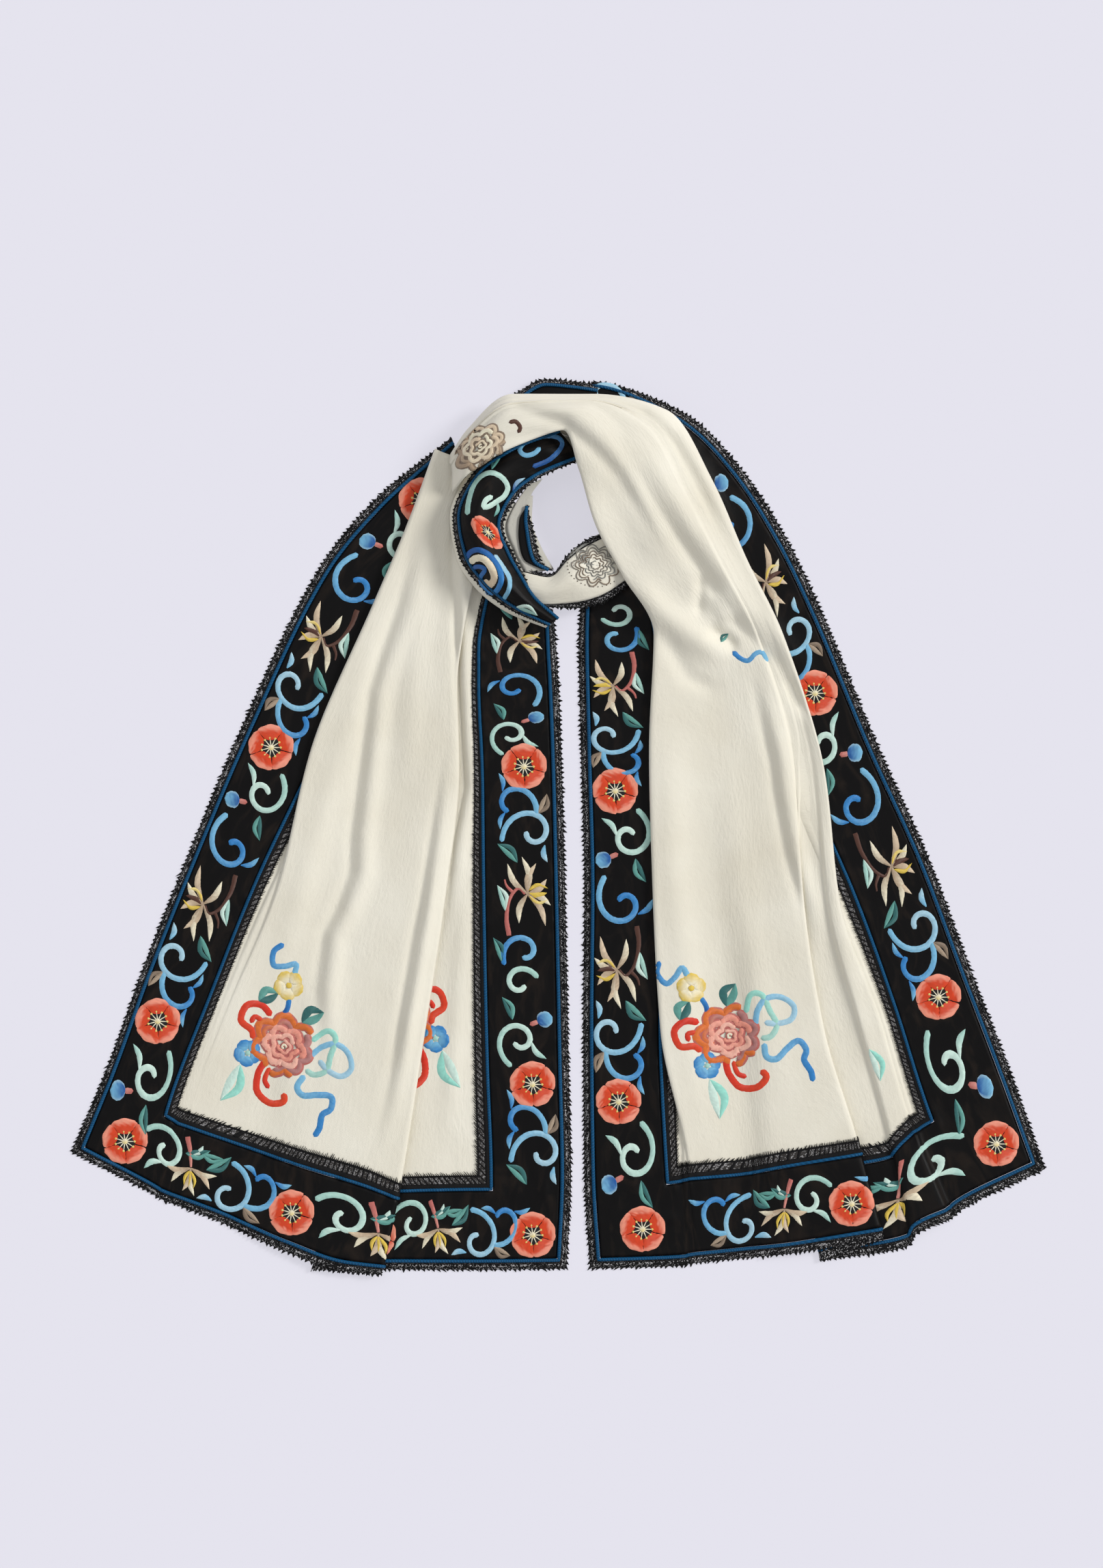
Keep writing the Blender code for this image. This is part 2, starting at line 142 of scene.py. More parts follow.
RIGHT_STATIONS = (0, 85, 190, 308, 422, 532, 600, 665, 728, 790, 846, 889, 912)
RIGHT_CLIMB = (0, 0, 0, 0, 0, 3, 18, 32, 36, 38, 38, 30, 11)
RIGHT_FOLDS = (
    Fold("inner edge", 0, 0, 0, 0.0, (
        (27, -389), (22, -304), (21, -173), (22, -53), (19, 67), (17, 163), (20, 201),
        (35, 250), (20, 296), (8, 348), (-35, 340), (-75, 320), (-90, 304))),
    Fold("border seam", 85, 0, 0, 0.6, (
        (112, -386), (106, -296), (104, -173), (105, -53), (102, 67), (100, 163), (84, 213),
        (47, 262), (32, 308), (12, 355), (-35, 344), (-75, 323), (-90, 307))),
    Fold("tuck behind the roll", 93, 0, (0, 3, 3, 3), 0.8, (
        (115, -385), (110, -295), (112, -173), (113, -53), (110, 67), (108, 163), (90, 216),
        (54, 262), (38, 307), (15, 359), (-35, 349), (-75, 327), (-90, 310))),
    Fold("rolled edge", 106, (0, 3, 3, 3), (0, 6, 7, 7), 0.9, (
        (121, -384), (114, -294), (90, -179), (83, -53), (80, 67), (84, 169), (56, 221),
        (32, 266), (18, 313), (4, 347), (-37, 333), (-80, 308), (-93, 293))),
    Fold("broad panel", 150, (0, 0.5, 3.5, 6), (0, 0.5, 3.5, 6), 1.0, (
        (160, -380), (162, -290), (150, -176), (142, -53), (141, 64), (133, 166), (100, 223),
        (73, 280), (49, 331), (18, 362), (-39, 356), (-78, 330), (-93, 309))),
    Fold("pleat foot", 206, 5, 5, 0.9, (
        (200, -376), (192, -284), (180, -174), (178, -60), (178, 61), (160, 166), (127, 229),
        (94, 286), (65, 342), (21, 369), (-40, 365), (-79, 335), (-94, 317))),
    Fold("pleat edge", 246, 6.8, (3.4, 3.4, 4.4, 6.8), 0.8, (
        (286, -362), (262, -273), (233, -176), (216, -71), (205, 61), (175, 167), (142, 231),
        (109, 294), (76, 350), (24, 372), (-40, 368), (-80, 339), (-95, 319))),
    Fold("pleat back", 298, (3.4, 3.4, 4.4, 6.8), (0, 0, 4, 6.8), 0.7, (
        (230, -382), (212, -286), (200, -178), (208, -73), (212, 60), (180, 168), (147, 232),
        (114, 296), (80, 353), (26, 373), (-40, 370), (-80, 341), (-95, 321))),
    Fold("strip foot", 376, (0, 0, 4, 6), (0, 0, 4, 6), 0.6, (
        (310, -368), (290, -274), (263, -174), (236, -71), (222, 60), (186, 169), (152, 233),
        (119, 298), (84, 356), (28, 374), (-40, 372), (-80, 343), (-95, 323))),
    Fold("strip edge", 382, (3.5, 3.5, 6, 7), (3.5, 3.5, 6, 7), 0.5, (
        (313, -360), (292, -270), (265, -172), (238, -69), (226, 59), (190, 169), (158, 235),
        (125, 301), (89, 360), (29, 376), (-40, 375), (-80, 345), (-95, 325))),
    Fold("outer rolled edge", 404, (1.5, 4.5, 7, 8), (0.8, 2.4, 3, 3), 0.4, (
        (344, -346), (307, -254), (281, -166), (247, -66), (234, 46), (197, 169), (165, 235),
        (134, 305), (95, 365), (31, 379), (-40, 379), (-79, 349), (-94, 328))),
    Fold("outer tuck", 417, (0.5, 2, 3, 3), 0, 0.35, (
        (348, -343), (311, -252), (284, -163), (243, -63), (198, 37), (149, 153), (120, 213),
        (90, 266), (60, 300), (21, 338), (-33, 352), (-77, 338), (-91, 321))),
    Fold("outer border seam", 425, 0, 0, 0.3, (
        (351, -340), (314, -250), (287, -162), (248, -62), (204, 36), (155, 153), (126, 212),
        (96, 265), (66, 300), (24, 345), (-30, 358), (-77, 341), (-91, 324))),
    Fold("outer edge", 510, 0, 0, 0.0, (
        (429, -301), (396, -209), (365, -130), (326, -27), (281, 73), (231, 192), (200, 256),
        (160, 317), (110, 365), (29, 392), (-22, 385), (-77, 345), (-91, 325))),
)
SHOWN_INNER_BORDER = 606
BACK_BORDER_END = 790

LOOP_STATIONS = (0, 38, 70, 105, 140, 170, 195, 225)
LOOP_RIDGES = (
    Ridge("lace edge", 0, (
        (19, 321), (-17, 305), (-36, 288), (-48, 263), (-39, 239), (-30, 221), (-21, 203), (0, 183)),
        (22, 27, 27, 26, 26, 26, 24, 15)),
    Ridge("crest", 43, (
        (9, 337), (-33, 320), (-60, 303), (-72, 269), (-64, 237), (-49, 216), (-29, 197), (-4, 180)),
        (26, 33, 40, 42, 42, 40, 34, 20)),
    Ridge("border seam", 85, (
        (-3, 350), (-46, 332), (-75, 309), (-92, 272), (-87, 239), (-69, 212), (-42, 191), (-9, 177)),
        (23, 24, 18, 16, 16, 16, 17, 14)),
    Ridge("wool edge", 97, (
        (-6, 352), (-49, 334), (-78, 311), (-95, 272), (-90, 238), (-72, 209), (-44, 188), (-11, 175)),
        (22.6, 19, 13, 11, 11, 11, 11, 10)),
)

BOTTOM_STATIONS = (-14, 0, 30, 60, 95)
BOTTOM_RIDGES = (
    Ridge("lace at the hole", 0, (
        (-30, 227), (-8, 222), (7, 238), (19, 249), (36, 258)), (22, 24, 24, 21, 17)),
    Ridge("roll", 32, (
        (-34, 211), (-13, 207), (12, 217), (30, 226), (52, 238)), (24, 29, 33, 27, 19)),
    Ridge("lace below", 64, (
        (-27, 191), (-9.5, 192), (14, 191), (38, 196), (62, 211)), (16, 20, 14, 12, 11)),
)

# The strip of wool that shows inside the hole, below the lace of the loop.
INSIDE_STATIONS = (0, 18, 51, 84, 118)
INSIDE_RIDGES = (
    Ridge("under the lace", 0, (
        (-26, 300), (-37, 284), (-45, 263), (-38, 242), (-28, 222)), (23, 23, 23, 23, 23)),
    Ridge("at the hole", 22, (
        (-14, 305), (-24, 290), (-25, 270), (-18, 248), (-6, 226)), (21, 20, 20, 20, 21)),
)

# A second turn of the border that shows inside the hole, on that strip.
SECOND_STATIONS = (0, 14, 28, 42, 54, 68)
SECOND_RIDGES = (
    Ridge("lace at the hole", 0, (
        (-27, 283), (-24, 269), (-20, 255), (-17, 241), (-13, 231), (-3, 224)),
        (22, 22, 22, 22, 22.6, 23.6)),
    Ridge("under the wool", 18, (
        (-29, 279), (-34, 270), (-35, 257), (-34, 246), (-30, 234), (-15, 226)),
        (23, 23.4, 23.6, 23.8, 24, 24)),
)

# The border that shows behind the wrap, as a low arch.
BACK_STATIONS = (0, 30, 60, 84)
BACK_RIDGES = (
    Ridge("lace edge", 0, ((-40, 380), (-12, 394), (14, 392), (36, 389)), (4, 5, 4, 3)),
    Ridge("band edge", 40, ((-26, 352), (-8, 366), (10, 364), (29, 361)), (9, 14, 12, 10)),
)

# The folded cloth inside the loop: lines across the border that covers it, and rows of
# its inner edge, outer edge and three heights where the wrap covers it.
UNDER_BAND = 1.6
LAYERS_UNDER_BAND = (14.0, 24.0, 34.0, 42.0)
RIGHT_LAYERS = (
    ((40, 262), (58, 231), (10, 15, 10)), ((41, 275), (64, 260), (15, 20, 13)),
    ((32, 298), (48, 296), (17, 22.3, 15)), ((23, 315), (35, 325), (17, 22.3, 15)),
)
BACK_LAYERS = (
    ((21, 318), (30, 330), (16, 22, 14)), ((8, 325), (4, 343), (16, 20, 14)),
    ((-6, 313), (-24, 332), (14, 18, 14)),
)


@dataclass(frozen=True)
class Crease:
    """A soft ridge, or a trough where height is below zero, along a line in plan.

    The line is in object millimetres, and the crease fades over its ends. width is half
    its soft section. Where aside isn't zero, the line is a shallow trough and the ridge
    lies that far to its left, as beside a fold.
    """

    height: float
    width: float
    aside: float
    line: Plan


def read_curve(places: Sequence[float], rows: np.ndarray, at: np.ndarray) -> np.ndarray:
    """Joins rows smoothly, without overshoot.

    Args:
        places: Where each row stands.
        rows: One row of values for each place.
        at: Where the curve is read.

    Returns:
        One row of values for each value of at.
    """
    places = np.asarray(places, float)
    rows = np.asarray(rows, float)
    at = np.asarray(at, float)
    gaps = np.diff(places)[:, None]
    slopes = np.diff(rows, axis=0) / gaps
    tangents = np.zeros_like(rows)
    before, after = slopes[:-1], slopes[1:]
    same_way = before * after > 0
    total = np.where(same_way, before + after, 1.0)
    tangents[1:-1] = np.where(same_way, 2 * before * after / total, 0.0)
    tangents[0], tangents[-1] = slopes[0], slopes[-1]
    index = np.clip(np.searchsorted(places, at, side="right") - 1, 0, len(places) - 2)
    width = gaps[index]
    t = (at - places[index])[:, None] / width
    return (
        rows[index] * (1 + 2 * t) * (1 - t) ** 2
        + tangents[index] * width * t * (1 - t) ** 2
        + rows[index + 1] * t * t * (3 - 2 * t)
        + tangents[index + 1] * width * t * t * (t - 1)
    )


def unit(vectors: np.ndarray) -> np.ndarray:
    """The vectors at length one."""
    length = np.linalg.norm(vectors, axis=-1, keepdims=True)
    return vectors / np.maximum(length, 1e-6)


def spaced(edges: Iterable[float], step: float) -> np.ndarray:
    """Splits the stretches between sorted edges evenly.

    Args:
        edges: Places that are kept.
        step: The longest stretch left whole.

    Returns:
        The edges and the places between them.
    """
    edges = sorted(set(edges))
    places = [edges[0]]
    for start, end in zip(edges, edges[1:]):
        count = max(1, math.ceil((end - start) / step))
        places.extend(start + (end - start) * part / count for part in range(1, count + 1))
    return np.array(places)


class Sheet:
    """Cloth laid out by lengthwise lines, as in its solid."""

    def __init__(self, stations: Sequence[float], lines: list, width: float) -> None:
        """Keeps the lines.

        Args:
            stations: Distances along the sheet where every line has a point.
            lines: Pairs of a line's distance across the sheet and its points.
            width: The sheet's width on the flat cloth.
        """
        self.stations = tuple(float(station) for station in stations)
        self.across = [across for across, _ in lines]
        self.lines = np.array([points for _, points in lines])
        self.width = width

    def place(self, across: np.ndarray, along: np.ndarray) -> np.ndarray:
        """Points of the sheet for every pair of across and along."""
        count = len(self.stations)
        flat = self.lines.reshape(len(self.across), count * 3)
        rows = read_curve(self.across, flat, across).reshape(len(across), count, 3)
        by_station = rows.transpose(1, 0, 2).reshape(count, len(across) * 3)
        points = read_curve(self.stations, by_station, along)
        return points.reshape(len(along), len(across), 3).transpose(1, 0, 2)


def layer_height(heights: Heights, shares: np.ndarray) -> np.ndarray:
    """A layer's height at each share of the way from the hem to the neck."""
    return np.interp(shares, HEIGHT_SHARES, np.broadcast_to(heights, len(HEIGHT_SHARES)))


def folded_sheet(
    stations: Sequence[float], climb: Sequence[float], folds: Sequence[Fold]
) -> Sheet:
    """Lays out a tail. The cloth turns round a fold whose layers differ in height.

    Args:
        stations: Distances along the tail from its hem.
        climb: The height that the tail has gained at each station.
        folds: The lengthwise lines.

    Returns:
        The laid-out sheet.
    """
    shares = np.array(stations) / stations[-1]
    gained = np.array(climb, float)
    plans = [np.array(fold.plan, float) for fold in folds]
    lines = []
    for index, fold in enumerate(folds):
        base = GROUND + gained * fold.rise
        arrive = base + layer_height(fold.arrive, shares)
        leave = base + layer_height(fold.leave, shares)
        plan = plans[index]
        if fold.arrive == fold.leave:
            lines.append((fold.across, np.column_stack([plan, arrive])))
            continue
        radius = np.maximum(np.abs(arrive - leave) / 2, TURN_LEAST)[:, None]
        back = plan - unit(plan - plans[index - 1]) * radius
        onward = plan + unit(plans[index + 1] - plan) * radius
        turn = float(radius.max()) * TURN_SPREAD
        lines.append((fold.across - turn, np.column_stack([back, arrive])))
        lines.append((fold.across, np.column_stack([plan, (arrive + leave) / 2])))
        lines.append((fold.across + turn, np.column_stack([onward, leave])))
    return Sheet(stations, lines, folds[-1].across)


def ridged_sheet(stations: Sequence[float], ridges: Sequence[Ridge]) -> Sheet:
    """Lays out a stretch of the loop from its ridges."""
    lines = [
        (ridge.across, np.column_stack([ridge.plan, ridge.heights])) for ridge in ridges
    ]
    return Sheet(stations, lines, ridges[-1].across)


def heaped_sheet(stations: Sequence[float], tops: np.ndarray, layers: int = 4) -> Sheet:
    """Lays out cloth folded to and fro, up to a rounded top.

    Args:
        stations: Distances along the heap.
        tops: Points of its top, for each line across it and each station.
        layers: How many layers lie one over the other.

    Returns:
        The laid-out sheet.
    """
    lines, across = [], 0.0

    def add(points: np.ndarray) -> None:
        """Adds a line, as far on across the cloth as it lies from the last one."""
        nonlocal across
        if lines:
            across += max(float(np.linalg.norm(points - lines[-1][1], axis=1).mean()), 1.0)
        lines.append((across, points))

    for level in range(layers):
        share = (level + 1) / layers
        order = tops if level % 2 else tops[::-1]
        for top in order:
            add(top * (1.0, 1.0, share) - (0.0, 0.0, 0.5))
        if level < layers - 1:
            rim, before = order[-1], order[-2]
            out = unit((rim - before)[:, :2]) * np.minimum(rim[:, 2:] / layers / 2, 1.5)
            raised = rim[:, 2:] * (share + 0.5 / layers)
            add(np.column_stack([rim[:, :2] + out, raised]))
    return Sheet(stations, lines, across)


@dataclass(frozen=True)
class Lie:
    """The soft creases that every layer shares, as heights over the plan."""

    creases: tuple[Crease, ...]
    fade: float = 0.3

    def lift(self, points: np.ndarray) -> np.ndarray:
        """How far the creases raise each point.

        Args:
            points: Places in object millimetres, in rows of x, y and z.

        Returns:
            One height for each point.
        """
        total = np.zeros(len(points))
        for crease in self.creases:
            line = np.array(crease.line, float)
            reach = crease.width * 2.6 + abs(crease.aside)
            low, high = line.min(0) - reach, line.max(0) + reach
            near = np.all((points[:, :2] > low) & (points[:, :2] < high), axis=1)
            if not near.any():
                continue
            if crease.aside:
                onward = unit(np.gradient(line, axis=0))
                ridge = line + np.column_stack([-onward[:, 1], onward[:, 0]]) * crease.aside
                trough = Crease(-0.6 * crease.height, 0.6 * crease.width, 0.0, crease.line)
                total[near] += self.section(points[near, :2], line, trough)
                line = ridge
            total[near] += self.section(points[near, :2], line, crease)
        return total

    def section(self, places: np.ndarray, line: np.ndarray, crease: Crease) -> np.ndarray:
        """The height of one crease at each place."""
        lengths = np.linalg.norm(np.diff(line, axis=0), axis=1)
        starts = np.concatenate([[0.0], np.cumsum(lengths)])
        nearest = np.full(len(places), 1e9)
        share = np.zeros(len(places))
        for index, length in enumerate(lengths):
            step = line[index + 1] - line[index]
            along = np.clip((places - line[index]) @ step / length**2, 0.0, 1.0)
            gap = np.linalg.norm(places - line[index] - along[:, None] * step, axis=1)
            closer = gap < nearest
            nearest = np.where(closer, gap, nearest)
            share = np.where(closer, (starts[index] + along * length) / starts[-1], share)
        ends = np.clip(np.minimum(share, 1 - share) / self.fade, 0.0, 1.0)
        taper = ends * ends * (3 - 2 * ends)
        return crease.height * taper * np.exp(-((nearest / crease.width) ** 2))


@dataclass(frozen=True)
class Pucker:
    """Small gathers beside a seam that lies along or across the cloth."""

    seam: float
    lengthwise: bool
    height: float = 0.45
    reach: float = 9.0
    waves: tuple[float, ...] = (13.0, 19.0, 31.0)

    def lift(self, across: np.ndarray, along: np.ndarray) -> np.ndarray:
        """The gathers' height at places on the flat cloth."""
        gap, run = (across, along) if self.lengthwise else (along, across)
        strength = np.exp(-(((gap - self.seam) / self.reach) ** 2))
        ripple = sum(
            math.cos(wave) * np.sin(2 * math.pi * run / wave + wave) for wave in self.waves
        )
        return self.height * strength * ripple


class Cloth:
    """A sheet with its creases, read at any place on the flat cloth."""

    def __init__(
        self, sheet: Sheet, lie: Lie, puckers: Sequence[Pucker] = (), step: float = 2.5
    ) -> None:
        """Lays the sheet out once, finely enough for everything that is sewn to it.

        Args:
            sheet: The laid-out sheet.
            lie: The creases in plan.
            puckers: The gathers beside its seams.
            step: The spacing of the fine layout.
        """
        self.sheet = sheet
        self.width = sheet.width
        self.length = sheet.stations[-1]
        self.across = spaced([0.0, *sheet.across], step)
        self.along = spaced(sheet.stations, step * 1.4)
        points = sheet.place(self.across, self.along)
        flat_across, flat_along = np.meshgrid(self.across, self.along, indexing="ij")
        raised = lie.lift(points.reshape(-1, 3)).reshape(points.shape[:2])
        for pucker in puckers:
            raised += pucker.lift(flat_across, flat_along)
        floor = np.minimum(points[..., 2], GROUND)
        points[..., 2] = np.maximum(points[..., 2] + raised, floor)
        self.points = points
        self.pull_across = np.gradient(points, self.across, axis=0)
        self.pull_along = np.gradient(points, self.along, axis=1)
        self.normals = unit(np.cross(self.pull_across, self.pull_along))

    def read(self, grid: np.ndarray, across: np.ndarray, along: np.ndarray) -> np.ndarray:
        """Values of a fine grid at places on the flat cloth, between its points."""
        first = np.clip(np.searchsorted(self.across, across) - 1, 0, len(self.across) - 2)
        second = np.clip(np.searchsorted(self.along, along) - 1, 0, len(self.along) - 2)
        s = (across - self.across[first]) / (self.across[first + 1] - self.across[first])
        t = (along - self.along[second]) / (self.along[second + 1] - self.along[second])
        s, t = s[:, None], t[:, None]
        return (
            grid[first, second] * (1 - s) * (1 - t)
            + grid[first + 1, second] * s * (1 - t)
            + grid[first, second + 1] * (1 - s) * t
            + grid[first + 1, second + 1] * s * t
        )

    def at(
        self, across: np.ndarray, along: np.ndarray, lift: np.ndarray | float = 0.0
    ) -> np.ndarray:
        """Points of the cloth, moved out along its normals.

        Args:
            across: Distances from the sheet's first edge.
            along: Distances from its hem.
            lift: How far each point stands off the cloth.

        Returns:
            Places in object millimetres.
        """
        across = np.asarray(across, float)
        along = np.asarray(along, float)
        out = unit(self.read(self.normals, across, along))
        lift = np.broadcast_to(lift, across.shape)[:, None]
        return self.read(self.points, across, along) + out * lift


def read_points(mesh: bpy.types.Mesh) -> np.ndarray:
    """The mesh's vertex places, in rows of three."""
    points = np.empty(len(mesh.vertices) * 3)
    mesh.vertices.foreach_get("co", points)
    return points.reshape(-1, 3)


def finish_mesh(
    name: str, mesh: bpy.types.Mesh, points: np.ndarray, flat: np.ndarray
) -> bpy.types.Object:
    """Puts a mesh's vertices in place and keeps its flat pattern as a UV map.

    Args:
        name: The piece's name.
        mesh: The mesh.
        points: A place for each vertex, in millimetres.
        flat: A place on the flat pattern for each vertex, in millimetres.

    Returns:
        The piece.
    """
    corners = np.empty(len(mesh.loops), np.int32)
    mesh.loops.foreach_get("vertex_index", corners)
    layer = mesh.uv_layers.new(name="Flat")
    layer.data.foreach_set("uv", (flat[corners, :2] * MM).astype(np.float32).ravel())
    mesh.vertices.foreach_set("co", (points * MM).astype(np.float32).ravel())
    mesh.polygons.foreach_set("use_smooth", np.ones(len(mesh.polygons), bool))
    mesh.update()
    piece = bpy.data.objects.new(name, mesh)
    bpy.context.scene.collection.objects.link(piece)
    return piece


def flat_grid(name: str, across: np.ndarray, along: np.ndarray, wanted=None) -> bpy.types.Mesh:
    """A flat pattern: a grid with a line at each value, less the faces not wanted.

    Args:
        name: The mesh's name.
        across: The lines' places across the cloth, which become x.
        along: The lines' places along the cloth, which become y.
        wanted: A test of a face's middle, given its x and y.

    Returns:
        The flat mesh.
    """
    pattern = bmesh.new()
    columns, rows = len(across) - 1, len(along) - 1
    bmesh.ops.create_grid(pattern, x_segments=columns, y_segments=rows, size=1.0)
    for vertex in pattern.verts:
        column = round((vertex.co.x + 1) / 2 * columns)
        row = round((vertex.co.y + 1) / 2 * rows)
        vertex.co = (across[column], along[row], 0.0)
    if wanted is not None:
        unwanted = []
        for face in pattern.faces:
            middle = face.calc_center_median()
            if not wanted(middle.x, middle.y):
                unwanted.append(face)
        bmesh.ops.delete(pattern, geom=unwanted, context="FACES")
    mesh = bpy.data.meshes.new(name)
    pattern.to_mesh(mesh)
    pattern.free()
    return mesh


@functools.lru_cache(maxsize=None)
def grid_pattern(rows: int, columns: int) -> tuple[np.ndarray, np.ndarray]:
    """A small grid's places, 0 to 1 by -1 to 1, and its faces, made once for each size."""
    mesh = flat_grid(
        "stitch pattern", np.linspace(0, 1, rows + 1), np.linspace(-1, 1, columns + 1)
    )
    corners = np.empty(len(mesh.loops), np.int32)
    mesh.loops.foreach_get("vertex_index", corners)
    places = read_points(mesh)[:, :2]
    bpy.data.meshes.remove(mesh)
    return places, corners.reshape(-1, 4)


def thicken(piece: bpy.types.Object, thickness: float) -> None:
    """Gives a shell of cloth its thickness, half to each side."""
    wall = piece.modifiers.new("Cloth", "SOLIDIFY")
    wall.thickness = thickness * MM
    wall.offset = 0.0


def lay_cloth(
    name: str, cloth: Cloth, across: np.ndarray, along: np.ndarray, wanted=None,
    lift: float = 0.0, thickness: float = 0.8,
) -> bpy.types.Object:
    """Cuts a flat pattern and lays it on the cloth.

    Args:
        name: The piece's name.
        cloth: What it follows.
        across: The pattern's lines across the cloth.
        along: The pattern's lines along the cloth.
        wanted: A test of a place on the flat cloth, for a pattern with a gap or corner.
        lift: How far it stands off the cloth.
        thickness: The thickness of its shell.

    Returns:
        The piece.
    """
    mesh = flat_grid(name, across, along, wanted)
    flat = read_points(mesh)
    piece = finish_mesh(name, mesh, cloth.at(flat[:, 0], flat[:, 1], lift), flat)
    thicken(piece, thickness)
    return piece


def lay_cord(
    name: str, cloth: Cloth, path: Plan, radius: float, lift: float, sides: int = 8,
    step: float = 2.5,
) -> bpy.types.Object:
    """Lays a round cord along a path on the cloth.

    Args:
        name: The piece's name.
        cloth: What it lies on.
        path: Corners of the path on the flat cloth.
        radius: The cord's radius.
        lift: How far its middle stands off the cloth.
        sides: How many faces it has round it.
        step: The length of each face.

    Returns:
        The piece.
    """
    corners = np.array(path, float)
    lengths = np.linalg.norm(np.diff(corners, axis=0), axis=1)
    starts = np.concatenate([[0.0], np.cumsum(lengths)])
    run = spaced(starts, step)
    flat = np.column_stack([np.interp(run, starts, corners[:, axis]) for axis in (0, 1)])
    middle = cloth.at(flat[:, 0], flat[:, 1], lift)
    forward = unit(np.gradient(middle, axis=0))
    upward = unit(cloth.read(cloth.normals, flat[:, 0], flat[:, 1]))
    aside = unit(np.cross(forward, upward))
    upward = np.cross(aside, forward)
    mesh = flat_grid(name, run, np.linspace(0.0, 1.0, sides + 1))
    places = read_points(mesh)
    ring = np.searchsorted(run, places[:, 0] - step * 0.01)
    turn = places[:, 1:2] * 2 * math.pi
    points = middle[ring] + radius * (
        np.cos(turn) * upward[ring] - np.sin(turn) * aside[ring]
    )
    girth = 2 * math.pi * radius
    pattern = np.column_stack([places[:, 0], places[:, 1] * girth])
    piece = finish_mesh(name, mesh, points, pattern)
    close_cord(piece.data)
    return piece


def close_cord(mesh: bpy.types.Mesh) -> None:
    """Joins a cord's long seam and fills its ends."""
    cord = bmesh.new()
    cord.from_mesh(mesh)
    bmesh.ops.remove_doubles(cord, verts=cord.verts[:], dist=0.01 * MM)
    open_edges = [edge for edge in cord.edges if edge.is_boundary]
    bmesh.ops.holes_fill(cord, edges=open_edges, sides=0)
    bmesh.ops.recalc_face_normals(cord, faces=cord.faces[:])
    cord.to_mesh(mesh)
    cord.free()


Colour = tuple[float, float, float]


class Slot(Enum):
    """The record's material slots."""

    WOOL = "wool"
    SATIN = "satin"
    PIPING = "piping"
    LACE = "lace"


class Board:
    """A node tree with short calls that add and join its nodes."""

    def __init__(self, tree: bpy.types.NodeTree) -> None:
        """Takes the tree."""
        self.tree = tree

    def feed(self, socket: Socket, value: Value) -> None:
        """Joins a socket to another, or gives it a value."""
        if isinstance(value, bpy.types.NodeSocket):
            self.tree.links.new(value, socket)
        elif isinstance(value, tuple) and socket.type == "RGBA":
            socket.default_value = (*value, 1.0)
        else:
            socket.default_value = value

    def add(self, kind: str, settings: dict | None = None, **values: Value) -> bpy.types.Node:
        """Adds a node.

        Args:
            kind: The node's type, without its ShaderNode prefix.
            settings: Its own properties.
            **values: What feeds its inputs, with _ for a space.

        Returns:
            The node.
        """
        node = self.tree.nodes.new(f"ShaderNode{kind}")
        for label, value in (settings or {}).items():
            setattr(node, label, value)
        for label, value in values.items():
            self.feed(node.inputs[label.replace("_", " ")], value)
        return node

    def math(self, operation: str, first: Value, second: Value = 0.5) -> Socket:
        """The result of a sum on two values or sockets."""
        node = self.add("Math", {"operation": operation})
        self.feed(node.inputs[0], first)
        self.feed(node.inputs[1], second)
        return node.outputs[0]

    def times(self, first: Value, second: Value) -> Socket:
        """The product of two values or sockets."""
        return self.math("MULTIPLY", first, second)

    def mix(self, share: Value, first: Value, second: Value, blend: str = "MIX") -> Socket:
        """A colour between two others."""
        node = self.add("Mix", {"data_type": "RGBA", "blend_type": blend})
        for place, value in ((0, share), (6, first), (7, second)):
            self.feed(node.inputs[place], value)
        return node.outputs[2]

    def span(self, value: Socket, low: float, high: float, least=0.0, most=1.0) -> Socket:
        """The value drawn out from low and high to least and most."""
        return self.add(
            "MapRange", Value=value, From_Min=low, From_Max=high, To_Min=least, To_Max=most
        ).outputs[0]

    def place(self, group: bpy.types.NodeTree, vector: Socket, **values: float) -> Socket:
        """The result of a shared effect, with the material's own values."""
        return self.add("Group", {"node_tree": group}, Vector=vector, **values).outputs[0]

    def flat(self) -> Socket:
        """The place on the flat pattern, in metres."""
        return self.add("UVMap", {"uv_map": "Flat"}).outputs["UV"]

    def show(self, **values: Value) -> None:
        """Feeds the material's own shader."""
        for label, value in values.items():
            self.feed(self.tree.nodes["Principled BSDF"].inputs[label.replace("_", " ")], value)

    def bump(self, *bumps: tuple[Socket, float, float]) -> None:
        """Raises the surface by heights, each with a strength and a depth."""
        below = {}
        for height, strength, depth in bumps:
            node = self.add("Bump", Strength=strength, Distance=depth, Height=height, **below)
            below = {"Normal": node.outputs[0]}
        self.show(**below)


def start_effect(name: str, **inputs: float) -> tuple[Board, bpy.types.NodeOutputs]:
    """Starts a shared shader node group.

    Args:
        name: The group's name.
        **inputs: Its number inputs beside its vector, with their usual values.

    Returns:
        Its board, and what its inputs bring.
    """
    group = bpy.data.node_groups.new(name, "ShaderNodeTree")
    group.interface.new_socket("Vector", in_out="INPUT", socket_type="NodeSocketVector")
    for label, value in inputs.items():
        socket = group.interface.new_socket(label, in_out="INPUT", socket_type="NodeSocketFloat")
        socket.default_value = value
    return Board(group), group.nodes.new("NodeGroupInput").outputs


def end_effect(board: Board, label: str, result: Socket) -> bpy.types.NodeTree:
    """Gives a shared group its one output."""
    board.tree.interface.new_socket(label, in_out="OUTPUT", socket_type="NodeSocketFloat")
    board.feed(board.tree.nodes.new("NodeGroupOutput").inputs[label], result)
    return board.tree


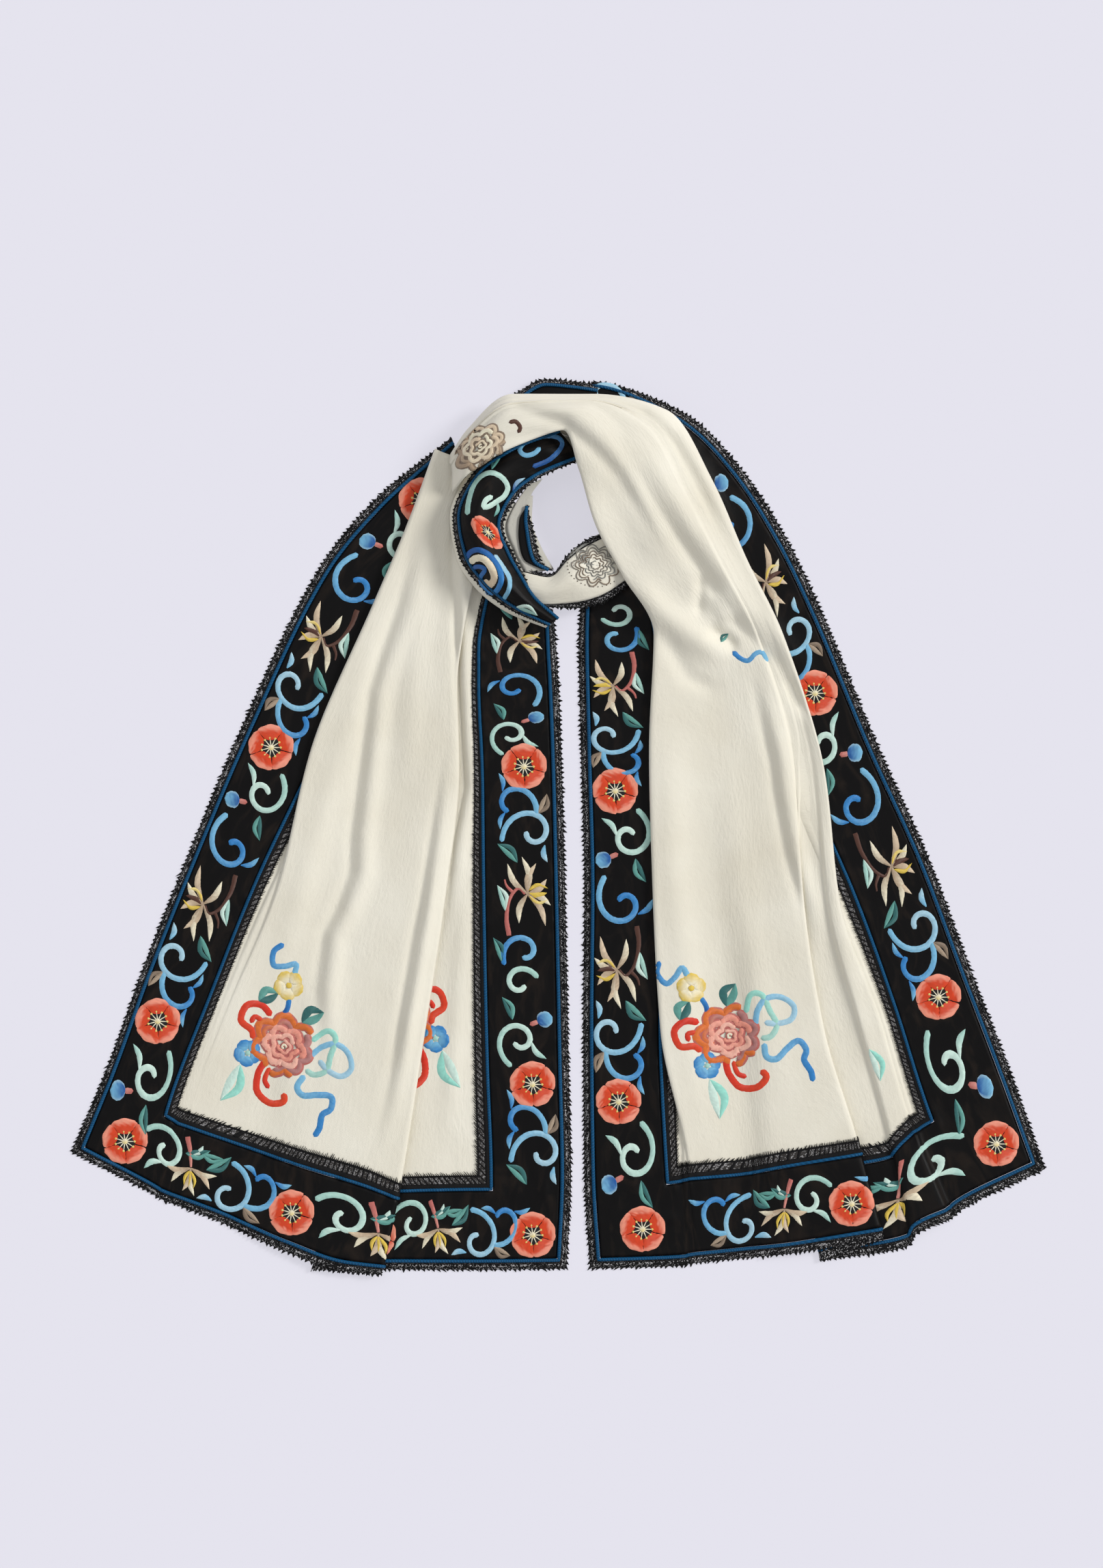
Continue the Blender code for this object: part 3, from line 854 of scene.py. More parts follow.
def weave_group() -> bpy.types.NodeTree:
    """Plain weave: a height with threads over and under, and slubs in them."""
    board, given = start_effect("Weave", Pitch=0.001, Slub=0.3)
    pitch = board.add("CombineXYZ", **dict.fromkeys("XYZ", given["Pitch"]))
    divide = board.add("VectorMath", {"operation": "DIVIDE"})
    board.feed(divide.inputs[0], given["Vector"])
    board.feed(divide.inputs[1], pitch.outputs[0])
    threads = divide.outputs[0]
    parts = board.add("SeparateXYZ", Vector=threads).outputs
    weft, warp = (board.math("SINE", board.times(part, 2 * math.pi)) for part in parts[:2])
    slub = board.add("TexNoise", Vector=threads, Scale=0.35, Detail=2.0).outputs["Fac"]
    uneven = board.times(slub, given["Slub"])
    return end_effect(board, "Height", board.math("ADD", board.times(weft, warp), uneven))


def crinkle_group() -> bpy.types.NodeTree:
    """Crepe crinkle: fine lengthwise wrinkles that come and go."""
    board, given = start_effect("Crinkle", Size=0.006, Stretch=3.0)
    parts = board.add("SeparateXYZ", Vector=given["Vector"]).outputs
    across = board.math("DIVIDE", parts[0], given["Size"])
    along = board.math("DIVIDE", parts[1], board.times(given["Size"], given["Stretch"]))
    place = board.add("CombineXYZ", X=across, Y=along).outputs[0]
    fine = board.add("TexNoise", Vector=place, Scale=1.0, Detail=3.0, Roughness=0.6)
    broad = board.add("TexNoise", Vector=place, Scale=0.23, Detail=1.0)
    height = board.times(fine.outputs["Fac"], broad.outputs["Fac"])
    return end_effect(board, "Height", height)


def twist_group() -> bpy.types.NodeTree:
    """Twisted strands: slanting ridges along a cord or thread."""
    board, given = start_effect("Twist", Pitch=0.002, Slant=1.0)
    parts = board.add("SeparateXYZ", Vector=given["Vector"]).outputs
    slanted = board.math("ADD", parts[0], board.times(parts[1], given["Slant"]))
    turns = board.math("DIVIDE", slanted, given["Pitch"])
    ridge = board.math("ABSOLUTE", board.math("SINE", board.times(turns, math.pi)))
    return end_effect(board, "Height", ridge)


def mottle_group() -> bpy.types.NodeTree:
    """Uneven dye and handling: a broad soft mask."""
    board, given = start_effect("Mottle", Size=0.08)
    scale = board.math("DIVIDE", 1.0, given["Size"])
    noise = board.add(
        "TexNoise", Vector=given["Vector"], Detail=3.0, Roughness=0.55, Scale=scale
    )
    return end_effect(board, "Mask", noise.outputs["Fac"])


@dataclass
class Effects:
    """The shader groups that more than one finish uses."""

    weave: bpy.types.NodeTree = field(default_factory=weave_group)
    crinkle: bpy.types.NodeTree = field(default_factory=crinkle_group)
    twist: bpy.types.NodeTree = field(default_factory=twist_group)
    mottle: bpy.types.NodeTree = field(default_factory=mottle_group)


@dataclass(frozen=True)
class Finish:
    """What every finish shares."""

    name: str

    def make(self, effects: Effects | None = None) -> bpy.types.Material:
        """Builds the material."""
        material = bpy.data.materials.new(self.name)
        material.use_nodes = True
        self.paint(Board(material.node_tree), effects)
        return material

    def paint(self, board: Board, effects: Effects | None) -> None:
        """Adds the finish's own nodes."""


@dataclass(frozen=True)
class WoolFinish(Finish):
    """Ivory crepe wool with a fine weave and crinkle."""

    name: str = "ivory crepe wool"
    colour: Colour = (0.80, 0.765, 0.66)
    worn: Colour = (0.70, 0.655, 0.54)

    def paint(self, board: Board, effects: Effects) -> None:
        """Adds the wool's nodes."""
        place = board.add("TexCoord").outputs["Object"]
        mottle = board.place(effects.mottle, place, Size=0.12)
        board.show(
            Base_Color=board.mix(board.span(mottle, 0.35, 0.75), self.colour, self.worn),
            Roughness=0.88, Sheen_Weight=0.25, Sheen_Roughness=0.5, Specular_IOR_Level=0.25,
        )
        crinkle = board.place(effects.crinkle, board.flat(), Size=0.0035, Stretch=2.2)
        weave = board.place(effects.weave, board.flat(), Pitch=0.0012, Slub=0.8)
        board.bump((crinkle, 0.55, 0.0016), (weave, 0.25, 0.00015))


@dataclass(frozen=True)
class SatinFinish(Finish):
    """Black satin with a faint brown watermark."""

    name: str = "black satin"
    colour: Colour = (0.0032, 0.0028, 0.003)
    watermark: Colour = (0.0125, 0.0085, 0.0065)

    def paint(self, board: Board, effects: Effects) -> None:
        """Adds the satin's nodes."""
        flat = board.flat()
        stretched = board.add("Mapping", Vector=flat, Scale=(1.0, 0.35, 1.0)).outputs[0]
        watered = board.add(
            "TexNoise", Vector=stretched, Scale=60.0, Detail=4.0, Distortion=1.5
        ).outputs["Fac"]
        board.show(
            Base_Color=board.mix(board.span(watered, 0.5, 0.72), self.colour, self.watermark),
            Roughness=board.span(watered, 0.3, 0.7, 0.42, 0.58), Specular_IOR_Level=0.12,
        )
        crinkle = board.place(effects.crinkle, flat, Size=0.007, Stretch=1.6)
        weave = board.place(effects.weave, flat, Pitch=0.0007, Slub=0.4)
        board.bump((crinkle, 0.35, 0.0015), (weave, 0.12, 0.0001))


@dataclass(frozen=True)
class CordFinish(Finish):
    """Twisted bright blue piping, with painted shade in the grooves between its strands."""

    name: str = "blue piping"
    colour: Colour = (0.003, 0.085, 0.21)
    # shade is painted shade: the colour in the grooves of the twist.
    shade: Colour = (0.001, 0.04, 0.1)

    def paint(self, board: Board, effects: Effects) -> None:
        """Adds the piping's nodes."""
        twist = board.place(effects.twist, board.flat(), Pitch=0.0022, Slant=0.8)
        # The grooves of the twist are darkened as painted shade.
        board.show(
            Base_Color=board.mix(twist, self.shade, self.colour),
            Roughness=0.5, Specular_IOR_Level=0.2,
        )
        board.bump((twist, 0.7, 0.0005))


@dataclass(frozen=True)
class LaceFinish(Finish):
    """Black cotton lace: dense thread, and net whose pale specks are its openings."""

    name: str = "black lace"
    opening: Colour = (0.5, 0.49, 0.5)
    cell: float = 0.0011

    def paint(self, board: Board, effects: Effects) -> None:
        """Adds the lace's nodes."""
        flat = board.flat()
        thread = board.add("Attribute", {"attribute_name": "Thread"}).outputs
        specks = board.add(
            "TexVoronoi", Vector=flat, Scale=1 / self.cell, Randomness=0.8
        ).outputs["Distance"]
        size = board.times(board.place(effects.mottle, flat, Size=0.006), 0.78)
        shown = board.times(board.math("LESS_THAN", specks, size), thread["Alpha"])
        board.show(
            Base_Color=board.mix(shown, thread["Color"], self.opening),
            Roughness=0.8, Specular_IOR_Level=0.2,
        )
        twist = board.place(effects.twist, flat, Pitch=0.0007, Slant=1.0)
        board.bump((specks, 0.6, 0.0005), (twist, 0.5, 0.0002))


@dataclass(frozen=True)
class SilkFinish(Finish):
    """Embroidery silk: satin stitches side by side, with a soft gloss and painted shade between the
    stitches.
    """

    name: str = "embroidery silk"
    # between is painted shade, multiplied into the thread in the grooves between stitches.
    between: Colour = (0.35, 0.35, 0.38)

    def paint(self, board: Board, effects: Effects) -> None:
        """Adds the silk's nodes."""
        flat = board.flat()
        tint = board.add("Attribute", {"attribute_name": "Thread"}).outputs["Color"]
        stitches = board.place(effects.twist, flat, Pitch=0.00055, Slant=0.12)
        mottle = board.place(effects.mottle, flat, Size=0.004)
        # Painted shade: the grooves between the stitches are darkened.
        shadow = board.times(board.math("SUBTRACT", 1.0, stitches), 0.35)
        board.show(
            Base_Color=board.mix(shadow, tint, self.between, "MULTIPLY"),
            Roughness=board.span(mottle, 0.3, 0.7, 0.38, 0.52),
            Specular_IOR_Level=0.35, Sheen_Weight=0.08,
        )
        board.bump((mottle, 0.35, 0.0005), (stitches, 0.55, 0.00022))


@dataclass(frozen=True)
class FloorFinish(Finish):
    """Plain pale lavender paper."""

    name: str = "pale paper"
    colour: Colour = (0.24, 0.235, 0.26)
    glow: Colour = (0.80, 0.79, 0.875)

    def paint(self, board: Board, effects: Effects | None) -> None:
        """Sets the paper's own sockets."""
        board.show(
            Base_Color=self.colour, Emission_Color=self.glow, Emission_Strength=0.68,
            Roughness=0.9, Specular_IOR_Level=0.1,
        )


class Silk(Enum):
    """Thread colours as daylight shows them, from 0 to 255."""

    INK = (13, 11, 12)
    MINT = (168, 212, 200)
    PALE_MINT = (208, 234, 222)
    AQUA = (154, 222, 206)
    TEAL = (96, 160, 150)
    DEEP_TEAL = (48, 106, 104)
    SKY = (122, 186, 220)
    PALE_SKY = (172, 210, 226)
    BLUE = (40, 128, 198)
    DEEP_BLUE = (20, 84, 156)
    FLAME = (218, 64, 20)
    VERMILION = (222, 66, 30)
    SALMON = (243, 152, 126)
    CREAM = (244, 236, 208)
    SAND = (226, 204, 174)
    FAWN = (178, 154, 128)
    YELLOW = (226, 194, 78)
    PALE_YELLOW = (242, 222, 150)
    ROSE = (190, 106, 98)
    PINK = (214, 140, 128)
    BROWN = (84, 50, 38)
    TAUPE = (134, 116, 98)
    PALE_TAUPE = (168, 148, 126)
    CORAL = (238, 150, 130)
    BLUSH = (246, 188, 168)
    MAUVE = (182, 124, 120)
    ORANGE = (220, 112, 44)
    RED = (216, 46, 24)
    ASH = (146, 146, 140)

    def light(self) -> np.ndarray:
        """The colour as linear light."""
        share = np.array(self.value) / 255
        return np.where(share > 0.04045, ((share + 0.055) / 1.055) ** 2.4, share / 12.92)


class Outline(Enum):
    """The shapes that satin stitch fills here."""

    BAND = "even, with round ends"
    LEAF = "pointed at both ends"
    PETAL = "narrow at the root, with a pointed tip"
    STEM = "thinner towards its end"
    DISC = "round"
    WEDGE = "widening, with a round end"


def stitch_width(outline: Outline, share: np.ndarray, slender: float) -> np.ndarray:
    """How wide a shape is along its length, as a share of its widest.

    Args:
        outline: The shape.
        share: Places from its root to its tip, from 0 to 1.
        slender: Its width over its length.

    Returns:
        One width for each place.
    """
    ends = np.minimum(share, 1 - share)
    round_end = np.sqrt(np.clip(1 - (1 - np.clip(ends / (slender / 2), 0, 1)) ** 2, 0, 1))
    widths = {
        Outline.BAND: round_end,
        Outline.LEAF: np.sin(math.pi * share**0.85) ** 0.8,
        Outline.PETAL: 0.22 * (1 - share) + np.sin(math.pi * share**1.15) ** 0.9 * 0.88,
        Outline.STEM: 1.0 - 0.55 * share,
        Outline.DISC: np.sqrt(np.clip(1 - (2 * share - 1) ** 2, 0, 1)),
        Outline.WEDGE: (0.3 + 0.7 * np.minimum(share / 0.7, 1)) * np.sqrt(
            np.clip(1 - (np.maximum(share - 0.66, 0) / 0.36) ** 2, 0, 1)),
    }
    return np.maximum(widths[outline], 0.05)


def smooth_line(points: Plan, step: float = 1.6) -> np.ndarray:
    """A smooth line through a few points.

    Args:
        points: The points that it passes.
        step: The spacing of what is returned.

    Returns:
        Its places, evenly spaced.
    """
    corners = np.array(points, float)
    ends = np.vstack([2 * corners[0] - corners[1], corners, 2 * corners[-1] - corners[-2]])
    share = np.linspace(0, 1, 9)[:-1, None]
    pieces = []
    for a, b, c, d in zip(ends, ends[1:], ends[2:], ends[3:]):
        pieces.append(
            b + 0.5 * share * (c - a + share * (
                2 * a - 5 * b + 4 * c - d + share * (3 * (b - c) + d - a)))
        )
    pieces.append(corners[-1:])
    return even_line(np.vstack(pieces), step)


def even_line(line: np.ndarray, step: float) -> np.ndarray:
    """The line again, with its places evenly spaced."""
    runs = np.concatenate([[0.0], np.cumsum(np.linalg.norm(np.diff(line, axis=0), axis=1))])
    count = max(2, round(runs[-1] / step))
    places = np.linspace(0, runs[-1], count + 1)
    return np.column_stack([np.interp(places, runs, line[:, axis]) for axis in (0, 1)])


def spiral(
    middle: tuple[float, float], outer: float, inner: float, start: float, sweep: float,
    step: float = 1.6,
) -> np.ndarray:
    """A scroll's line, which closes in as it turns.

    Args:
        middle: The point that it turns round.
        outer: Its radius where it starts.
        inner: Its radius where it ends.
        start: The angle where it starts, in degrees.
        sweep: How far it turns, in degrees.
        step: The spacing of what is returned.

    Returns:
        Its places, evenly spaced.
    """
    share = np.linspace(0, 1, 60)
    radius = outer * (inner / outer) ** (share**0.9)
    angle = np.radians(start + sweep * share)
    line = np.column_stack([np.cos(angle), np.sin(angle)]) * radius[:, None]
    return even_line(line + np.array(middle), step)


@dataclass(frozen=True)
class Stroke:
    """One stitched shape: a line, a width, and colours from root to tip and at the rim.

    hub is the middle of a flower that stays round where the cloth is drawn out of true.
    """

    line: np.ndarray
    width: float
    root: Silk
    tip: Silk
    outline: Outline = Outline.BAND
    rim: Silk | None = None
    lengthwise: bool = False
    dome: float = 0.75
    bow: float = 0.0
    layer: int = 0
    columns: int = 4
    hub: Point | None = None


Motif = list[Stroke]


def bent(root: Point, tip: Point, bend: float) -> np.ndarray:
    """A line between two points that curves aside by a share of its length."""
    start, end = np.array(root, float), np.array(tip, float)
    step = end - start
    middle = (start + end) / 2 + np.array([-step[1], step[0]]) * bend
    return smooth_line((start, middle, end))


def ray(middle: Point, turn: float, near: float, far: float, step: float) -> np.ndarray:
    """A straight line out of a flower's middle, between two distances from it."""
    way = np.array([math.cos(math.radians(turn)), math.sin(math.radians(turn))])
    return even_line(middle + way * np.array([[near], [far]]), step)


def leaf(root: Point, tip: Point, width: float, first: Silk, second: Silk) -> Motif:
    """A leaf split along its rib, its left half in the first shade."""
    reach = width / math.dist(root, tip)
    return [
        Stroke(bent(root, tip, 0.12 + side * reach * 0.27), width * 0.47, shade, shade,
               Outline.LEAF)
        for side, shade in ((1, first), (-1, second))
    ]


def sprig(
    root: Point, tip: Point, width: float, shade: Silk, end_shade: Silk | None = None
) -> Stroke:
    """A small plain leaf."""
    return Stroke(bent(root, tip, 0.15), width, shade, end_shade or shade, Outline.PETAL)


def petals(middle: Point, tips: Plan, width: float, shades: Sequence[Silk]) -> Motif:
    """Slender petals from one point to the given tips, in turn in the given shades."""
    return [
        Stroke(bent(middle, tip, 0.12 if index % 2 else -0.12), width, Silk.FAWN,
               shades[index % len(shades)], Outline.PETAL, lengthwise=True)
        for index, tip in enumerate(tips)
    ]


def ribbon(
    points: Plan, shade: Silk, tip: Silk, width: float = 5.0, layer: int = 0,
    outline: Outline = Outline.BAND,
) -> Stroke:
    """A curled ribbon or stem through a few points."""
    return Stroke(smooth_line(points), width, shade, tip, outline, layer=layer)


def poppy(middle: Point, radius: float, turn: float = 0.0) -> Motif:
    """A round flower of five flame petals with pale rims, on a dark heart with stamens.

    Args:
        middle: Its middle.
        radius: Its outer radius.
        turn: How far it is turned, in degrees.

    Returns:
        Its strokes.
    """

    def line(angle: float, near: float, far: float, step: float) -> np.ndarray:
        """A line out of its middle, between two shares of its radius."""
        return ray(middle, angle, radius * near, radius * far, step)

    strokes = [
        Stroke(line(turn + index * 72, 0.26, 1, 1.5), radius * 1.13, Silk.FLAME, Silk.SALMON,
               Outline.WEDGE, Silk.SALMON, True, 0.6, 0.06, index % 2, 8)
        for index in range(5)
    ]
    strokes.append(Stroke(line(90, -0.43, 0.43, 2.0), radius * 0.86, Silk.INK, Silk.INK,
                          Outline.DISC, layer=2, dome=0.25, columns=6))
    stamens = 11
    for index in range(stamens):
        angle = turn + 12 + index * 360 / stamens
        strokes += [
            Stroke(line(angle, 0.1, 0.38, 1.6), radius * 0.055, Silk.CREAM, Silk.CREAM,
                   Outline.STEM, layer=3, dome=0.35, columns=2),
            Stroke(line(angle, 0.36, 0.47, 0.8), radius * 0.1, Silk.PALE_YELLOW, Silk.YELLOW,
                   Outline.DISC, layer=3, dome=0.5, columns=2),
        ]
    strokes.append(Stroke(line(90, -0.12, 0.12, 1.0), radius * 0.24, Silk.PALE_YELLOW,
                          Silk.CREAM, Outline.DISC, layer=4, dome=0.5))
    return [replace(stroke, hub=middle) for stroke in strokes]


def bud(
    middle: tuple[float, float], stalk: tuple[float, float], radius: float
) -> Motif:
    """A round blue bud with a pale fringe, on a rose calyx that points to its stalk."""
    centre, foot = np.array(middle, float), np.array(stalk, float)
    way = unit(centre - foot)
    base, top = centre - way * radius * 0.9, centre + way * radius
    return [
        Stroke(smooth_line((tuple(foot), tuple(base + way * radius * 0.2))), radius * 0.6,
               Silk.ROSE, Silk.PINK, Outline.BAND),
        Stroke(even_line(np.array([base, top]), 1.5), radius * 1.9, Silk.DEEP_BLUE, Silk.SKY,
               Outline.DISC, Silk.PALE_SKY, lengthwise=True, layer=1, columns=6),
    ]


def poppy_scroll(with_bud: bool = True) -> Motif:
    """A poppy, the mint scroll that leaves it, a leaf and a bud."""
    strokes = [
        Stroke(spiral((2, 39), 25, 5.0, -72, 415), 5.2, Silk.MINT, Silk.PALE_MINT),
        sprig((-8, 38), (-21, 23), 5.5, Silk.PALE_MINT, Silk.MINT),
        *leaf((8, 57), (17, 77), 9, Silk.TEAL, Silk.DEEP_TEAL),
        *poppy((-8, 0), 20.5, 20),
    ]
    if with_bud:
        strokes += bud((-20, 58), (-7, 53), 7.5)
    return strokes


def blue_scroll() -> Motif:
    """A wide blue scroll with one sprig."""
    return [
        Stroke(spiral((-2, 33), 29, 5.0, -125, -400), 5.4, Silk.SKY, Silk.BLUE),
        sprig((10, 42), (23, 29), 5.5, Silk.BLUE, Silk.SKY),
    ]


def spray(stem: Silk, heart: Silk) -> Motif:
    """A spray of slender petals round a curled heart, on a crooked stem.

    Args:
        stem: The stem's shade.
        heart: The shade of the disc in its heart.

    Returns:
        Its strokes.
    """
    tips = ((-23, 9), (0, 11), (-28, 27), (-25, 50), (-16, 64), (-4, 70), (9, 64))
    return [
        Stroke(smooth_line(((9, 0), (11, 15), (8, 32), (0, 42), (-6, 37))), 5.0, stem, stem,
               Outline.STEM),
        Stroke(smooth_line(((4, 38), (10, 44), (12, 50))), 3.6, stem, stem, Outline.STEM),
        *leaf((12, 22), (19, 45), 9, Silk.PALE_MINT, Silk.MINT),
        *petals((-8, 37), tips, 6.0, (Silk.SAND, Silk.CREAM, Silk.CREAM, Silk.SAND)),
        Stroke(smooth_line(((-9, 36), (-17, 29), (-26, 32))), 3.4, Silk.YELLOW,
               Silk.PALE_YELLOW, Outline.LEAF, layer=1),
        Stroke(smooth_line(((-9, 38), (-17, 36), (-25, 38))), 5.4, heart, heart,
               Outline.LEAF, layer=1),
        Stroke(smooth_line(((-9, 40), (-17, 45), (-26, 42))), 3.4, Silk.YELLOW,
               Silk.YELLOW, Outline.LEAF, layer=1),
    ]


def short_spray() -> Motif:
    """A spray that hangs from a rose stem, between two small leaves."""
    tips = ((-8, 6), (-20, 14), (-24, 27), (-25, 40), (-15, 52), (-2, 54))
    return [
        *petals((-3, 29), tips, 5.6, (Silk.SAND, Silk.CREAM)),
        *(Stroke(smooth_line(((-5, 29), (-12, y), (-19, y + 1))), 3.0, Silk.YELLOW,
                 Silk.YELLOW, Outline.LEAF, layer=1) for y in (26, 31, 36)),
        Stroke(smooth_line(((22, 19), (12, 24), (-2, 29))), 5.2, Silk.ROSE, Silk.PINK,
               Outline.STEM),
        sprig((9, 28), (19, 34), 4.6, Silk.PALE_MINT),
        *leaf((12, 35), (14, 54), 8, Silk.TEAL, Silk.TEAL),
    ]


def vine_end() -> Motif:
    """A leaf, a pale blue scroll, a brown leaf and a blue hook with two sprigs."""
    return [
        *leaf((0, 1), (18, 18), 10, Silk.DEEP_TEAL, Silk.TEAL),
        Stroke(spiral((-14, 27), 29, 5.0, -15, 395), 5.2, Silk.SKY, Silk.PALE_SKY),
        sprig((-24, 16), (-26, 1), 5.5, Silk.SKY, Silk.PALE_SKY),
        *leaf((-19, 44), (-27, 61), 9, Silk.TAUPE, Silk.PALE_TAUPE),
        Stroke(spiral((4, 53), 24, 6.5, -155, -275), 5.2, Silk.SKY, Silk.BLUE),
        sprig((10, 46), (15, 31), 5.0, Silk.BLUE, Silk.SKY),
        sprig((12, 65), (15, 81), 5.0, Silk.BLUE, Silk.SKY),
    ]


def double_scroll() -> Motif:
    """A mint scroll that meets a blue one, with a leaf between them."""
    return [
        Stroke(spiral((1, 18), 17, 5.0, 165, -330), 5.2, Silk.MINT, Silk.PALE_MINT),
        Stroke(spiral((-4, 46), 22, 5.0, -35, 330), 5.2, Silk.BLUE, Silk.SKY),
        *leaf((16, 36), (24, 58), 9, Silk.DEEP_TEAL, Silk.TEAL),
    ]


@dataclass(frozen=True)
class BandPlacing:
    """Where a charted motif's x and y lie on a border, at its true size.

    path holds places along the border's middle line on the flat cloth, runs the true
    distance at each, and narrowing how much the cloth is drawn in across the border.
    reach is how far up the cloth the border is sewn on.
    """

    path: np.ndarray
    runs: np.ndarray
    narrowing: np.ndarray
    middle: float
    side: int
    lengthwise: bool
    distance: float
    scale: float
    reach: float

    def map(self, points: np.ndarray) -> np.ndarray:
        """Places on the flat cloth for the motif's points."""
        run = np.clip(self.distance + points[:, 1] * self.scale, self.runs[0], self.runs[-1])
        place = np.interp(run, self.runs, self.path)
        aside = self.middle + self.side * points[:, 0] / np.interp(
            run, self.runs, self.narrowing
        )
        return np.column_stack([aside, place] if self.lengthwise else [place, aside])


@dataclass(frozen=True)
class Spot:
    """A motif worked at one place of the flat cloth, drawn as seen from above.

    turn is in degrees, and a scale below zero mirrors the motif.
    """

    across: float
    along: float
    turn: float
    scale: tuple[float, float]
    strokes: Motif


@dataclass(frozen=True)
class SpotPlacing:
    """Keeps a motif's size and angles where the cloth is drawn out of true.

    It walks from the motif's middle to each point, along the cloth.
    """

    cloth: Cloth
    spot: Spot
    steps: int = 12

    def map(self, points: np.ndarray) -> np.ndarray:
        """Places on the flat cloth for the motif's points."""
        angle = math.radians(self.spot.turn)
        turn = np.array([
            [math.cos(angle), math.sin(angle)], [-math.sin(angle), math.cos(angle)]
        ])
        start = np.array([self.spot.across, self.spot.along], float)
        flat = np.tile(start, (len(points), 1))
        middle = self.cloth.read(self.cloth.points, *flat[:1].T)[0, :2]
        wanted = points * self.spot.scale @ turn
        limits = (self.cloth.width, self.cloth.length)
        for step in range(1, self.steps + 1):
            across = self.cloth.read(self.cloth.pull_across, *flat.T)[:, :2]
            along = self.cloth.read(self.cloth.pull_along, *flat.T)[:, :2]
            here = self.cloth.read(self.cloth.points, *flat.T)[:, :2]
            gap = middle + wanted * min(1.0, step / (self.steps - 2)) - here
            area = across[:, 0] * along[:, 1] - across[:, 1] * along[:, 0]
            area = np.where(np.abs(area) < 0.2, np.where(area < 0, -0.2, 0.2), area)
            move = np.column_stack([
                (gap[:, 0] * along[:, 1] - gap[:, 1] * along[:, 0]) / area,
                (across[:, 0] * gap[:, 1] - across[:, 1] * gap[:, 0]) / area,
            ])
            flat = np.clip(flat + np.clip(move, -15, 15), 0.0, limits)
        return flat


